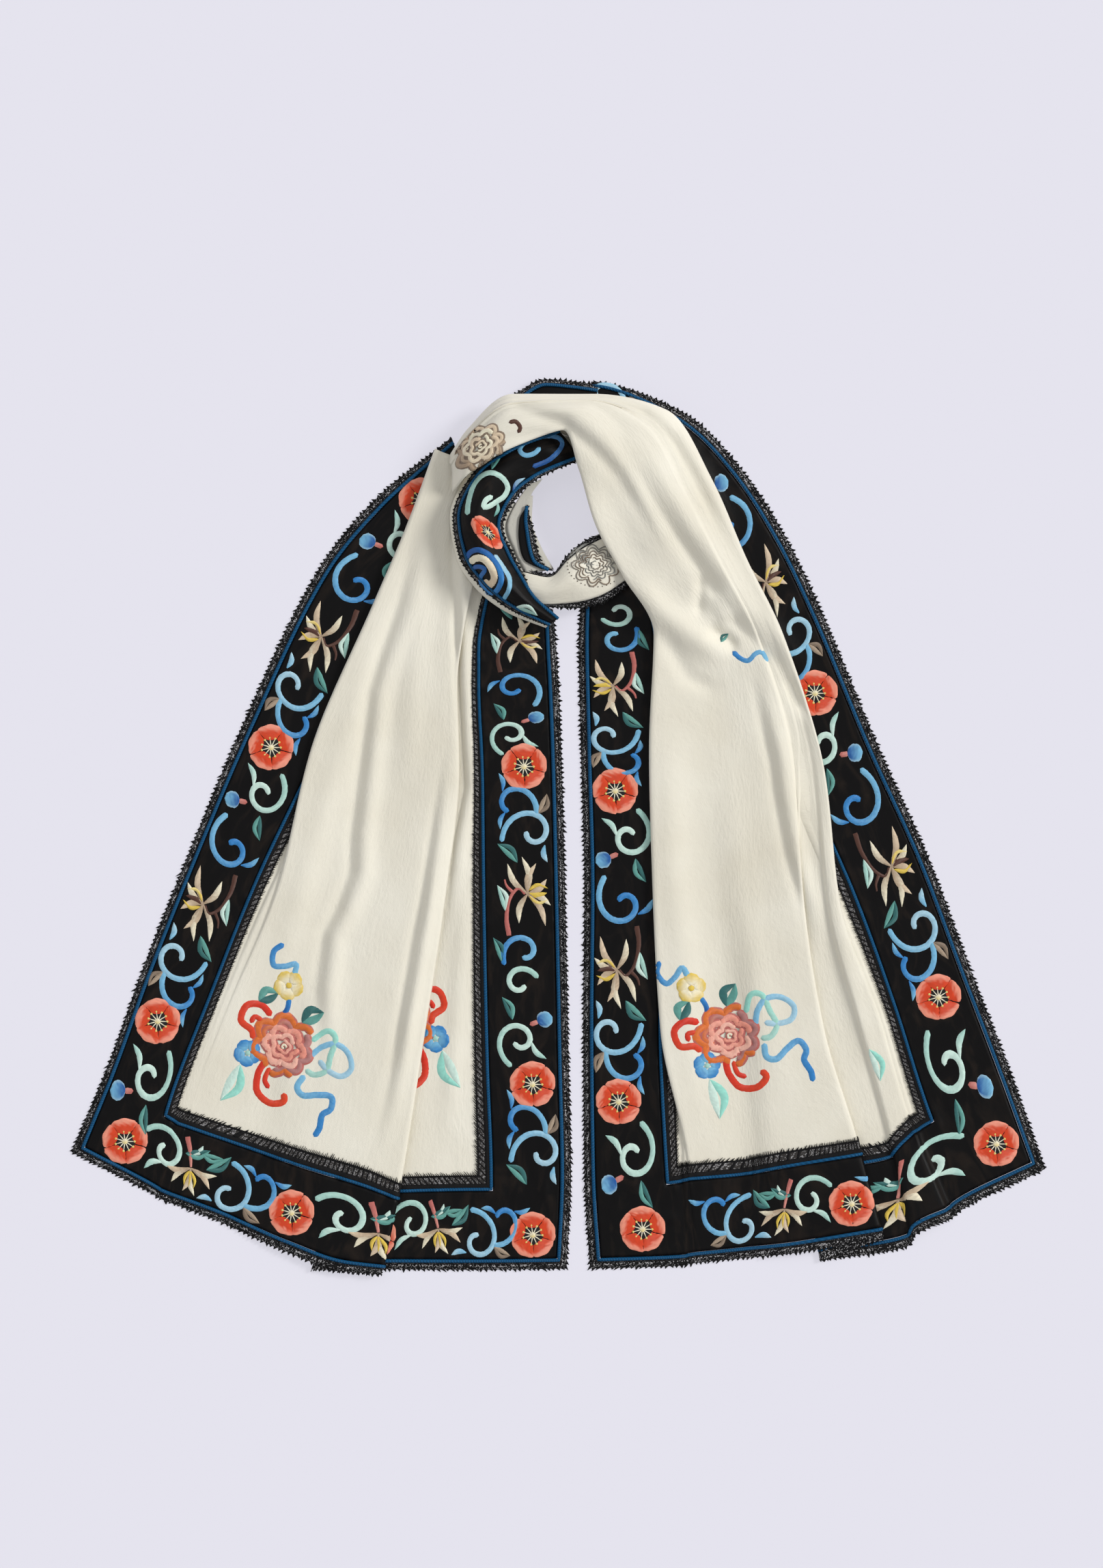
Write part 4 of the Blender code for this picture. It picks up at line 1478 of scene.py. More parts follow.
class Needlework:
    """Embroidery on one cloth, gathered stroke by stroke and joined into one mesh."""

    base_lift = 0.3
    layer_step = 0.22

    def __init__(self, cloth: Cloth) -> None:
        """Starts with no strokes.

        Args:
            cloth: What it is worked on.
        """
        self.cloth = cloth
        self.flat: list[np.ndarray] = []
        self.lifts: list[np.ndarray] = []
        self.colours: list[np.ndarray] = []
        self.threads: list[np.ndarray] = []
        self.faces: list[np.ndarray] = []
        self.count = 0
        self.uneven = np.random.default_rng(7)

    def work(self, strokes: Iterable[Stroke], placing: SpotPlacing | BandPlacing) -> None:
        """Adds a motif's strokes at one placing.

        Args:
            strokes: The strokes, in the motif's own x and y.
            placing: Where the motif lies.
        """
        for stroke in strokes:
            self.add(stroke, placing)

    def work_spots(self, spots: Iterable[Spot]) -> None:
        """Works each motif at its true size."""
        for spot in spots:
            self.work(spot.strokes, SpotPlacing(self.cloth, spot))

    def add(self, stroke: Stroke, placing: SpotPlacing | BandPlacing) -> None:
        """Adds one stroke as a domed patch."""
        rows = len(stroke.line) - 1
        places, faces = grid_pattern(rows, stroke.columns)
        share, side = places[:, 0], places[:, 1]
        bowed = share * (1 - stroke.bow * side**2) * rows
        first = np.clip(bowed.astype(int), 0, rows - 1)
        part = (bowed - first)[:, None]
        middle = stroke.line[first] * (1 - part) + stroke.line[first + 1] * part
        forward = unit(np.gradient(stroke.line, axis=0))
        ahead = forward[first] * (1 - part) + forward[first + 1] * part
        length = float(np.linalg.norm(np.diff(stroke.line, axis=0), axis=1).sum())
        half = stitch_width(stroke.outline, share, stroke.width / length) * stroke.width / 2
        aside = np.column_stack([-ahead[:, 1], ahead[:, 0]])
        ragged = 1 + self.uneven.normal(0, 0.035, len(side)) * (np.abs(side) > 0.9)
        points = middle + aside * (side * half * ragged)[:, None]
        flat = self.place(stroke, points, placing)
        if isinstance(placing, BandPlacing) and flat[:, 1].max() > placing.reach:
            return
        crown = np.sqrt(np.clip(1 - side**2, 0, 1))
        ends = np.clip(np.minimum(share, 1 - share) * rows / 1.2, 0, 1) ** 0.5
        base = self.base_lift + stroke.layer * self.layer_step
        self.lifts.append(base + stroke.dome * crown * (0.35 + 0.65 * ends))
        self.flat.append(flat)
        self.colours.append(self.shade(stroke, share, side))
        thread = np.column_stack([share * length, side * half])
        self.threads.append(thread[:, ::-1] if stroke.lengthwise else thread)
        self.faces.append(faces + self.count)
        self.count += len(places)

    def place(
        self, stroke: Stroke, points: np.ndarray, placing: SpotPlacing | BandPlacing
    ) -> np.ndarray:
        """Places on the flat cloth for a stroke's points; flowers with a hub stay round."""
        if stroke.hub is None or isinstance(placing, SpotPlacing):
            return placing.map(points)
        hub = np.array([stroke.hub], float)
        across, along = placing.map(hub)[0]
        rest = (self.cloth.width - across, self.cloth.length - along)
        if min(across, along, *rest) < 1.0:
            return placing.map(points)
        spot = Spot(across, along, 0.0, (1.0, 1.0), [])
        return SpotPlacing(self.cloth, spot).map(points - hub)

    def shade(self, stroke: Stroke, share: np.ndarray, side: np.ndarray) -> np.ndarray:
        """The thread's colour at each place, from root to tip and towards the rim."""
        jitter = self.uneven.normal(0, 0.07, len(share))
        blend = np.clip(share + jitter, 0, 1)
        if stroke.outline is Outline.WEDGE:
            blend = np.clip((share + jitter * 0.8 - 0.52) / 0.26, 0, 1)
        blend = (blend * blend * (3 - 2 * blend))[:, None]
        colour = stroke.root.light() * (1 - blend) + stroke.tip.light() * blend
        if stroke.rim is not None:
            edge = np.clip((np.abs(side) - 0.78) / 0.3, 0, 1)[:, None]
            if stroke.outline is Outline.WEDGE:
                edge = edge * blend
            colour = colour * (1 - edge) + stroke.rim.light() * edge
        worn = 1 + self.uneven.normal(0, 0.05, (len(share), 1))
        return np.clip(colour * worn, 0, 1)

    def finish(self, name: str) -> bpy.types.Object:
        """Joins every stroke and lays it on the cloth.

        Args:
            name: The piece's name.

        Returns:
            The piece.
        """
        flat = np.vstack(self.flat)
        flat[:, 0] = np.clip(flat[:, 0], 0, self.cloth.width)
        flat[:, 1] = np.clip(flat[:, 1], 0, self.cloth.length)
        mesh = bpy.data.meshes.new(name)
        points = self.cloth.at(flat[:, 0], flat[:, 1], np.concatenate(self.lifts))
        mesh.from_pydata(points, [], np.vstack(self.faces))
        tint = mesh.color_attributes.new(name="Thread", type="FLOAT_COLOR", domain="POINT")
        colours = np.column_stack([np.vstack(self.colours), np.ones(len(flat))])
        tint.data.foreach_set("color", colours.astype(np.float32).ravel())
        return finish_mesh(name, mesh, points, np.vstack(self.threads))


class LaceWork:
    """Lace along one edge of a cloth, gathered part by part and joined into one mesh."""

    black: Colour = (0.006, 0.0057, 0.0063)
    net: Colour = (0.034, 0.031, 0.029)

    def __init__(self, cloth: Cloth, edge: Plan, inset_edge: Plan) -> None:
        """Measures the edge at its true length.

        Args:
            cloth: What the lace is sewn to.
            edge: Corners of the cloth's edge on the flat cloth.
            inset_edge: The same corners one millimetre in.
        """
        self.cloth = cloth
        self.corners = np.array(edge, float)
        self.inward = np.array(inset_edge, float) - self.corners
        steps = np.linalg.norm(np.diff(self.corners, axis=0), axis=1)
        self.starts = np.concatenate([[0.0], np.cumsum(steps)])
        self.run = np.linspace(0.0, self.starts[-1], 1200)
        points = self.place(self.run, np.full(1200, 4.0), 0.0)
        gaps = np.linalg.norm(np.diff(points, axis=0), axis=1)
        self.true = np.concatenate([[0.0], np.cumsum(gaps)])
        self.points: list[np.ndarray] = []
        self.flat: list[np.ndarray] = []
        self.tints: list[np.ndarray] = []
        self.faces: list[np.ndarray] = []
        self.count = 0
        self.uneven = np.random.default_rng(5)

    def place(
        self, run: np.ndarray, inset: np.ndarray, lift: np.ndarray | float
    ) -> np.ndarray:
        """Points of the cloth at distances along its edge and in from it."""
        side = np.clip(np.searchsorted(self.starts, run, "right") - 1, 0, len(self.starts) - 2)
        share = (run - self.starts[side]) / (self.starts[side + 1] - self.starts[side])
        share = share[:, None]
        corner = self.corners[side] * (1 - share) + self.corners[side + 1] * share
        inward = self.inward[side] * (1 - share) + self.inward[side + 1] * share
        flat = corner + inward * np.maximum(inset, 0.0)[:, None]
        points = self.cloth.at(flat[:, 0], flat[:, 1], lift)
        beyond = np.minimum(inset, 0.0)[:, None]
        nearby = flat + inward * 2.0
        aside = unit(self.cloth.read(self.cloth.points, *nearby.T) - self.cloth.read(
            self.cloth.points, *flat.T
        ))
        return points + aside * beyond

    def work(
        self, run: np.ndarray, inset: np.ndarray, lift: np.ndarray, faces: np.ndarray,
        tint: Colour, openness: float,
    ) -> None:
        """Adds one part, given at true distances along the edge."""
        flat_run = np.interp(run, self.true, self.run)
        self.points.append(self.place(flat_run, inset, lift))
        self.flat.append(np.column_stack([run, inset]))
        self.tints.append(np.tile((*tint, openness), (len(run), 1)))
        self.faces.append(faces + self.count)
        self.count += len(run)

    def band(
        self, start: float, end: float, lift: float, tint: Colour, openness: float = 0.0,
        step: float = 2.0, crown: float = 0.0, columns: int = 3,
    ) -> None:
        """Adds a strip along the whole edge, raised at its middle by its crown."""
        rows = int(self.true[-1] / step)
        places, faces = grid_pattern(rows, columns)
        side = places[:, 1]
        inset = start + (end - start) * (side + 1) / 2
        ripple = self.uneven.normal(0, 0.06, len(side))
        self.work(
            places[:, 0] * self.true[-1], inset, lift + crown * (1 - side**2) + ripple,
            faces, tint, openness,
        )

    def bars(self, start: float, end: float, pitch: float, width: float, lift: float) -> None:
        """Adds bars across the lace, all alike."""
        self.array(pitch, 4, start, end, width, width, lift, 0.35)

    def picots(self, root: float, reach: float, pitch: float, width: float, lift: float) -> None:
        """Adds a row of small pointed loops that stand out from the lace."""
        self.array(pitch, 2, root, root + reach, width, 0.25, lift, 0.25, 0.22)

    def array(
        self, pitch: float, rows: int, start: float, end: float, width: float, tip: float,
        lift: float, crown: float, wander: float = 0.05,
    ) -> None:
        """Repeats a tapered, domed tab along the edge, slightly uneven."""
        total = int(self.true[-1] / pitch)
        places, faces = grid_pattern(rows, 2)
        share, side = np.tile(places[:, 0], total), np.tile(places[:, 1], total)
        each = np.repeat(np.arange(total), len(places))
        sway = self.uneven.normal(0, wander, total)[each] * pitch
        length = 1 + self.uneven.normal(0, wander, total)[each]
        half = (width + (tip - width) * share) / 2
        run = (each + 0.5) * pitch + side * half + sway * share
        steps = np.repeat(np.arange(total) * len(places), len(faces))[:, None]
        self.work(
            np.clip(run, 0, self.true[-1]), start + (end - start) * share * length,
            lift + crown * (1 - side**2), np.tile(faces, (total, 1)) + steps, self.black, 0.0,
        )

    def finish(self, name: str) -> bpy.types.Object:
        """Joins every part.

        Args:
            name: The piece's name.

        Returns:
            The piece.
        """
        points = np.vstack(self.points)
        mesh = bpy.data.meshes.new(name)
        mesh.from_pydata(points, [], np.vstack(self.faces))
        tint = mesh.color_attributes.new(name="Thread", type="FLOAT_COLOR", domain="POINT")
        tint.data.foreach_set("color", np.vstack(self.tints).astype(np.float32).ravel())
        piece = finish_mesh(name, mesh, points, np.vstack(self.flat))
        thicken(piece, 0.25)
        return piece


def picot_lace(name: str, cloth: Cloth, edge: Plan, inset_edge: Plan) -> bpy.types.Object:
    """The narrow dense lace outside the piping."""
    lace = LaceWork(cloth, edge, inset_edge)
    lace.band(0.9, LACE_EDGE + 2.0, -0.3, lace.black, 1.0, columns=4)
    lace.band(LACE_EDGE - 1.6, LACE_EDGE + 0.6, 0.1, lace.black, 0.15, crown=0.5)
    lace.band(2.4, 3.4, 0.1, lace.black, 0.3, crown=0.3)
    lace.picots(1.4, -2.4, 4.2, 3.4, -0.1)
    return lace.finish(name)


def insertion_lace(name: str, cloth: Cloth, edge: Plan, inset_edge: Plan) -> bpy.types.Object:
    """The ladder lace between the inner piping and the wool."""
    lace = LaceWork(cloth, edge, inset_edge)
    lace.band(INNER_CORD + 0.5, 82.6, 0.75, lace.net, 0.6, columns=6)
    lace.band(INNER_CORD + 0.5, 76.0, 1.0, lace.black, 0.0, crown=0.4)
    lace.band(81.6, 83.0, 0.9, lace.black, 0.0, crown=0.45)
    lace.bars(75.5, 82.4, 5.8, 1.5, 0.95)
    lace.picots(82.6, 2.7, 2.4, 1.35, 1.3)
    return lace.finish(name)


def ruffle(
    reach: float, scallops: int, width: float, shade: Silk, tip: Silk, start: float = 0.0,
    sweep: float = 360.0, layer: int = 0,
) -> Stroke:
    """A scalloped ribbon of stitches round a flower's middle.

    Args:
        reach: Its distance from the middle.
        scallops: How many scallops a whole turn has.
        width: The ribbon's width.
        shade: Its shade where it starts.
        tip: Its shade where it ends.
        start: The angle where it starts, in degrees.
        sweep: How far it goes round, in degrees.
        layer: How many layers of thread lie under it.

    Returns:
        The stroke.
    """
    turn = np.radians(np.linspace(start, start + sweep, 120))
    wave = 0.8 + 0.3 * np.abs(np.sin(turn * scallops / 2))
    line = np.column_stack([np.cos(turn), 0.88 * np.sin(turn)]) * (reach * wave)[:, None]
    return Stroke(
        even_line(line, 1.4), width, shade, tip, Outline.BAND, layer=layer, dome=0.9
    )


def full_flower(
    outer: Sequence[Silk], inner: Sequence[Silk], heart: Silk, edge: Silk, size: float = 1.0
) -> Motif:
    """A large ruffled flower, each of its ruffles with a thin darker edge.

    Args:
        outer: The two shades of its broken outer ruffles.
        inner: The two shades of its close inner ones.
        heart: The shade of its middle.
        edge: The shade of the edges.
        size: Its scale.

    Returns:
        Its strokes.
    """
    rows = (
        (27, 7, 6.5, outer[0], outer[0], 70, 200, 0), (22, 8, 6, outer[1], outer[1], -75, 150, 1),
        (21, 7, 5, outer[1], outer[0], 95, 120, 1), (26, 7, 6, outer[0], outer[0], 280, 45, 1),
        (17, 6, 6.5, inner[0], inner[1], 10, 350, 2), (11, 5, 5.5, inner[1], inner[0], 60, 340, 3),
        (5.5, 4, 4, inner[0], inner[1], 200, 300, 4), (2, 4, 3, heart, heart, 0, 300, 5),
    )
    strokes = []
    for reach, scallops, width, shade, tip, start, sweep, layer in rows:
        for wider, first, second in ((1.5, edge, edge), (0.0, shade, tip)):
            strokes.append(ruffle(
                reach * size, scallops, width * size + wider, first, second, start, sweep,
                layer + (wider == 0.0),
            ))
    return strokes


def small_flower(middle: Point, radius: float, shades: Sequence[Silk]) -> Motif:
    """Five round petals in an outer and an inner shade, round an eye."""
    outer, inner, eye = shades
    strokes = [
        Stroke(ray(middle, 18 + index * 72, radius * 0.2, radius, 1.5), radius * 1.05, inner,
               outer, Outline.DISC, outer, layer=index % 2, columns=6)
        for index in range(5)
    ]
    centre = ray(middle, 90, -radius * 0.2, radius * 0.2, 1.0)
    return [*strokes, Stroke(centre, radius * 0.4, eye, eye, Outline.DISC, layer=2)]


def bouquet() -> Motif:
    """A ruffled flower with two small ones, curled ribbons and leaves."""
    return [
        ribbon(((-62, 66), (-64, 55), (-56, 46), (-48, 52), (-42, 60), (-36, 50)),
               Silk.BLUE, Silk.SKY, 5.5),
        ribbon(((-26, 34), (-21, 26), (-20, 18)), Silk.BLUE, Silk.DEEP_BLUE, 5),
        *leaf((-44, 14), (-36, 31), 16, Silk.TEAL, Silk.DEEP_TEAL),
        *leaf((-3, 26), (5, 46), 17, Silk.DEEP_TEAL, Silk.TEAL),
        ribbon(((-27, 12), (-40, 13), (-49, 4), (-44, -9), (-31, -9), (-25, -14)),
               Silk.RED, Silk.VERMILION, 6.5),
        ribbon(((-28, 3), (-37, 2), (-36, -5)), Silk.VERMILION, Silk.RED, 4.5, 1),
        ribbon(((-4, -20), (-1, -33), (9, -45), (24, -45), (32, -36), (27, -30)),
               Silk.RED, Silk.VERMILION, 6.5),
        ribbon(((3, -22), (7, -33), (15, -36)), Silk.VERMILION, Silk.RED, 4.5, 1),
        *leaf((-18, -38), (-9, -73), 17, Silk.AQUA, Silk.PALE_MINT),
        *small_flower((-20, -26), 12.5, (Silk.BLUE, Silk.SKY, Silk.MINT)),
        *small_flower((-34, 42), 13.5, (Silk.YELLOW, Silk.CREAM, Silk.YELLOW)),
        ribbon(((14, 20), (18, 36), (28, 36), (35, 22), (41, 10), (36, 0), (27, -2)),
               Silk.AQUA, Silk.MINT, 5.5),
        ribbon(((22, 3), (24, 22), (32, 33), (45, 34), (56, 26), (54, 15), (42, 11), (30, 12)),
               Silk.SKY, Silk.PALE_SKY, 5.5),
        ribbon(((30, -6), (32, -18), (41, -20), (50, -11), (60, -4), (67, -12), (65, -21),
                (71, -31), (73, -40)), Silk.SKY, Silk.BLUE, 6),
        *full_flower(
            (Silk.ORANGE, Silk.MAUVE), (Silk.CORAL, Silk.BLUSH), Silk.CREAM, Silk.ROSE
        ),
    ]


def plain_spot(across: float, along: float, *strokes: Stroke) -> Spot:
    """A motif at its own size and turn."""
    return Spot(across, along, 0.0, (1.0, 1.0), list(strokes))


def loop_spots() -> list[Spot]:
    """The loop's motifs, each at its place on the loop."""
    return [
        plain_spot(53, 19, ribbon(
            ((-7, -17), (7, -11), (16, -3), (19, 4), (15, 9), (5, 10), (-7, 8), (-15, 3),
             (-18, -3), (-13, -7), (-5, -5), (0, 0)), Silk.DEEP_BLUE, Silk.SKY, 4.4)),
        plain_spot(65, 51, *leaf((-5, -7), (4, 6), 6, Silk.DEEP_TEAL, Silk.TEAL)),
        plain_spot(11, 57, sprig((-5, -6), (6, 6), 4, Silk.DEEP_BLUE, Silk.PALE_SKY)),
        plain_spot(
            37, 81,
            ribbon(((-17, -20), (-16, -9), (-12, 5), (-5, 14), (4, 17), (13, 13), (18, 5),
                    (15, -3), (8, -8), (2, -12), (-3, -13), (-1, -7), (5, -3)),
                   Silk.MINT, Silk.PALE_MINT, 4.8),
            sprig((9, -8), (6, -21), 3.5, Silk.MINT, Silk.TEAL),
        ),
        Spot(27, 116, -48.0, (1.05, 0.52), poppy((0, 0), 17.5)),
        plain_spot(
            60, 156,
            ribbon(((-15, 8), (-10, 15), (-2, 17), (8, 11), (15, 1), (17, -10), (12, -19),
                    (3, -19)), Silk.DEEP_BLUE, Silk.BLUE, 4.6, 1),
            ribbon(((-11, 6), (-5, 10), (2, 9), (8, 2), (11, -7), (7, -13), (1, -9)),
                   Silk.CREAM, Silk.SAND, 6.5),
            ribbon(((-8, 2), (-2, 3), (3, 0), (-1, -6), (0, -12), (6, -18)),
                   Silk.DEEP_BLUE, Silk.BLUE, 3.8, 2),
        ),
        plain_spot(35, 167, ribbon(
            ((-9, 19), (-2, 9), (4, -1), (4, -11), (-1, -20)), Silk.PALE_SKY, Silk.SKY, 4.2)),
        plain_spot(68, 204, *leaf((-10, 4), (10, -3), 7, Silk.PALE_MINT, Silk.MINT)),
    ]


def stitching_back() -> Spot:
    """The grey back of an embroidered flower, where the cloth lies reverse side up."""
    patch = Stroke(even_line(np.array([(-25.0, 3.0), (25.0, -3.0)]), 2.0), 40, Silk.ASH,
                   Silk.ASH, Outline.DISC, dome=0.1, columns=8)
    rings = [
        ruffle(reach, 9, 1.0, Silk.ASH, Silk.TAUPE, 20 * reach, 330, 1)
        for reach in (4, 7, 10, 13, 16, 19)
    ]
    dots = []
    for turn in np.arange(2.4, 5.6, 0.16):
        way = np.array([25 * math.cos(turn), 19 * math.sin(turn)])
        dot = even_line(np.array([way, way * 0.95]), 0.8)
        dots.append(Stroke(dot, 1.3, Silk.TAUPE, Silk.INK, layer=1, columns=2))
    return plain_spot(30, 79, patch, *rings, *dots)


@dataclass
class Finishes:
    """Every finish of the scarf, made once."""

    effects: Effects = field(default_factory=Effects)

    def __post_init__(self) -> None:
        """Builds the materials."""
        self.wool = WoolFinish().make(self.effects)
        # The wool's reverse side in painted shade: a darker copy of the ivory wool for the strip
        # inside the hole and the folds under the loop, where shade falls.
        self.reverse = WoolFinish(
            "wool reverse in painted shade", (0.50, 0.485, 0.43), (0.42, 0.405, 0.36)
        ).make(self.effects)
        self.satin = SatinFinish().make(self.effects)
        self.piping = CordFinish().make(self.effects)
        self.lace = LaceFinish().make(self.effects)
        self.silk = SilkFinish().make(self.effects)


def dress(
    piece: bpy.types.Object, material: bpy.types.Material, nodes: Sequence[str]
) -> bpy.types.Object:
    """Gives a piece its material and its body, and hides the solids that it stands for.

    Args:
        piece: The piece.
        material: Its finish.
        nodes: The solids that it replaces.

    Returns:
        The piece.
    """
    piece.data.materials.append(material)
    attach(piece, "root")
    if nodes:
        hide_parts(*nodes)
    log.info("%s stands for %d nodes", piece.name, len(nodes))
    return piece


@dataclass(frozen=True)
class Run:
    """Motifs along one side of the border, between two poppies.

    side is where the run lies, and start and end are the poppies' places along it.
    """

    side: str
    start: float
    end: float
    chart: str


BAND_MIDDLE = (PIPING_EDGE + SATIN_EDGE) / 2
CHART_LENGTHS = {"long": 262.0, "doubled": 282.0, "short": 164.0, "scroll": 70.0,
                 "end": 86.0, "flower": 35.0}


def charted(chart: str) -> list[tuple[float, Motif]]:
    """The motifs of one chart, each with its distance from the first poppy."""
    if chart == "long":
        return [(0, poppy_scroll()), (62, blue_scroll()), (114, spray(Silk.BROWN, Silk.BROWN)),
                (176, vine_end())]
    if chart == "doubled":
        return [(0, poppy_scroll()), (72, double_scroll()),
                (132, spray(Silk.ROSE, Silk.YELLOW)), (196, vine_end())]
    if chart == "short":
        return [(0, poppy_scroll(with_bud=False)), (36, short_spray()), (78, vine_end())]
    if chart == "end":
        return [(0, vine_end())]
    if chart == "flower":
        return [(0, poppy((-6, 0), 20.5, 20))]
    return [(0, poppy_scroll())]


@dataclass
class Tail:
    """One fanned tail: its wool, its border and the seams between them."""

    name: str
    sheet: Sheet
    lie: Lie
    finishes: Finishes
    first_side: str
    far_side: str
    first_end: float
    far_end: float
    wool_nodes: tuple[str, ...]
    wool_shown: float
    runs: tuple[Run, ...]
    spots: tuple[Spot, ...]
    cell: float = 3.0

    def __post_init__(self) -> None:
        """Lays the cloth out with gathers at its seams."""
        puckers = [
            Pucker(INNER_CORD, True), Pucker(self.sheet.width - INNER_CORD, True),
            Pucker(INNER_CORD, False), Pucker(OUTER_CORD, True, 0.25),
            Pucker(self.sheet.width - OUTER_CORD, True, 0.25),
        ]
        self.cloth = Cloth(self.sheet, self.lie, puckers)

    def nodes(self, strip: str) -> list[str]:
        """The nodes of one strip on the tail's three bordered sides."""
        sides = (self.first_side, "hem", self.far_side)
        return [f"{self.name}_{side}_{strip}" for side in sides]

    def covers(self, across: float, along: float, start: float, end: float) -> bool:
        """Whether a place lies in the border strip from start to end."""
        from_first, from_far = across, self.sheet.width - across
        if from_first < from_far:
            side_gap, limit = from_first, self.first_end
        else:
            side_gap, limit = from_far, self.far_end
        if along > limit:
            return False
        return start < min(side_gap, along) < end

    def path(self, inset: float) -> Plan:
        """A line round the tail at one distance from its edge."""
        far = self.sheet.width - inset
        return ((inset, self.first_end), (inset, inset), (far, inset), (far, self.far_end))

    def build(self) -> list[bpy.types.Object]:
        """Builds the wool, satin and piping.

        Returns:
            The pieces.
        """
        wool = self.build_wool()
        satin = self.build_satin()
        cords = [
            self.build_cord("outer_piping", OUTER_CORD),
            self.build_cord("inner_piping", INNER_CORD),
            self.build_lace("picot_lace", picot_lace),
            self.build_lace("insertion_lace", insertion_lace),
        ]
        needle = Needlework(self.cloth)
        needle.work_spots(self.spots)
        bouquets = needle.finish(f"{self.name}_bouquets")
        dress(bouquets, self.finishes.silk, [])
        return [wool, satin, *cords, bouquets, self.build_embroidery()]

    def run_placing(self, run: Run, distance: float) -> BandPlacing:
        """Where a motif lies that is a distance along a run of the border.

        Args:
            run: The run.
            distance: How far the motif is from the run's first poppy, on the chart.

        Returns:
            Its placing, at true size.
        """
        lengthwise = run.side != "hem"
        middle = self.sheet.width - BAND_MIDDLE if run.side == "far" else BAND_MIDDLE
        limit = self.cloth.length if lengthwise else self.cloth.width
        path = np.linspace(0.0, limit, 300)
        fixed = np.full(len(path), middle)
        spots = (fixed, path) if lengthwise else (path, fixed)
        points = self.cloth.read(self.cloth.points, *spots)
        runs = np.concatenate([[0], np.cumsum(np.linalg.norm(np.diff(points, axis=0), axis=1))])
        pull = self.cloth.pull_across if lengthwise else self.cloth.pull_along
        narrowing = np.linalg.norm(self.cloth.read(pull, *spots), axis=1)
        ends = np.array([run.start, run.end])
        first, last = np.interp(ends, path, runs) + np.maximum(ends - limit, 0.0)
        scale = (last - first) / CHART_LENGTHS[run.chart]
        return BandPlacing(
            path, runs, np.clip(narrowing, 0.7, 1.4), middle, -1 if run.side == "far" else 1,
            lengthwise, first + distance * scale, scale,
            self.far_end if run.side == "far" else self.first_end,
        )

    def build_embroidery(self) -> bpy.types.Object:
        """Works the vine, poppies and sprays along the border."""
        needle = Needlework(self.cloth)
        for run in self.runs:
            for distance, strokes in charted(run.chart):
                needle.work(strokes, self.run_placing(run, distance))
        piece = needle.finish(f"{self.name}_border_embroidery")
        return dress(piece, self.finishes.silk, [])

    def build_wool(self) -> bpy.types.Object:
        """Lays the wool between the borders."""
        edge = INNER_CORD
        inside = [place for place in self.sheet.across if edge < place < self.cloth.width - edge]
        across = spaced([edge, *inside, self.cloth.width - edge], self.cell)
        along = spaced([edge, self.cloth.length], self.cell)
        piece = lay_cloth(f"{self.name}_wool_ground", self.cloth, across, along)
        return dress(piece, self.finishes.wool, self.wool_nodes)

    def build_satin(self) -> bpy.types.Object:
        """Lays the satin band round three sides, with its corners whole."""
        far = self.cloth.width
        edges = [PIPING_EDGE, SATIN_EDGE, far - SATIN_EDGE, far - PIPING_EDGE]
        extra = [place for place in self.sheet.across if PIPING_EDGE < place < far - PIPING_EDGE]
        across = spaced([*edges, *extra], self.cell)
        along = spaced(
            [PIPING_EDGE, SATIN_EDGE, self.first_end, self.far_end], self.cell
        )

        def in_band(x: float, y: float) -> bool:
            """Whether a face's middle lies on the band."""
            return self.covers(x, y, PIPING_EDGE, SATIN_EDGE)

        piece = lay_cloth(f"{self.name}_satin_border", self.cloth, across, along, in_band)
        return dress(piece, self.finishes.satin, self.nodes("satin_band"))

    def build_cord(self, strip: str, inset: float) -> bpy.types.Object:
        """Lays one line of piping round three sides."""
        piece = lay_cord(
            f"{self.name}_{strip}_cord", self.cloth, self.path(inset), radius=1.55, lift=0.7
        )
        return dress(piece, self.finishes.piping, self.nodes(strip))

    def build_lace(self, strip: str, worker: Callable) -> bpy.types.Object:
        """Works one line of lace round three sides."""
        piece = worker(f"{self.name}_{strip}_edging", self.cloth, self.path(0.0), self.path(1.0))
        return dress(piece, self.finishes.lace, self.nodes(strip))
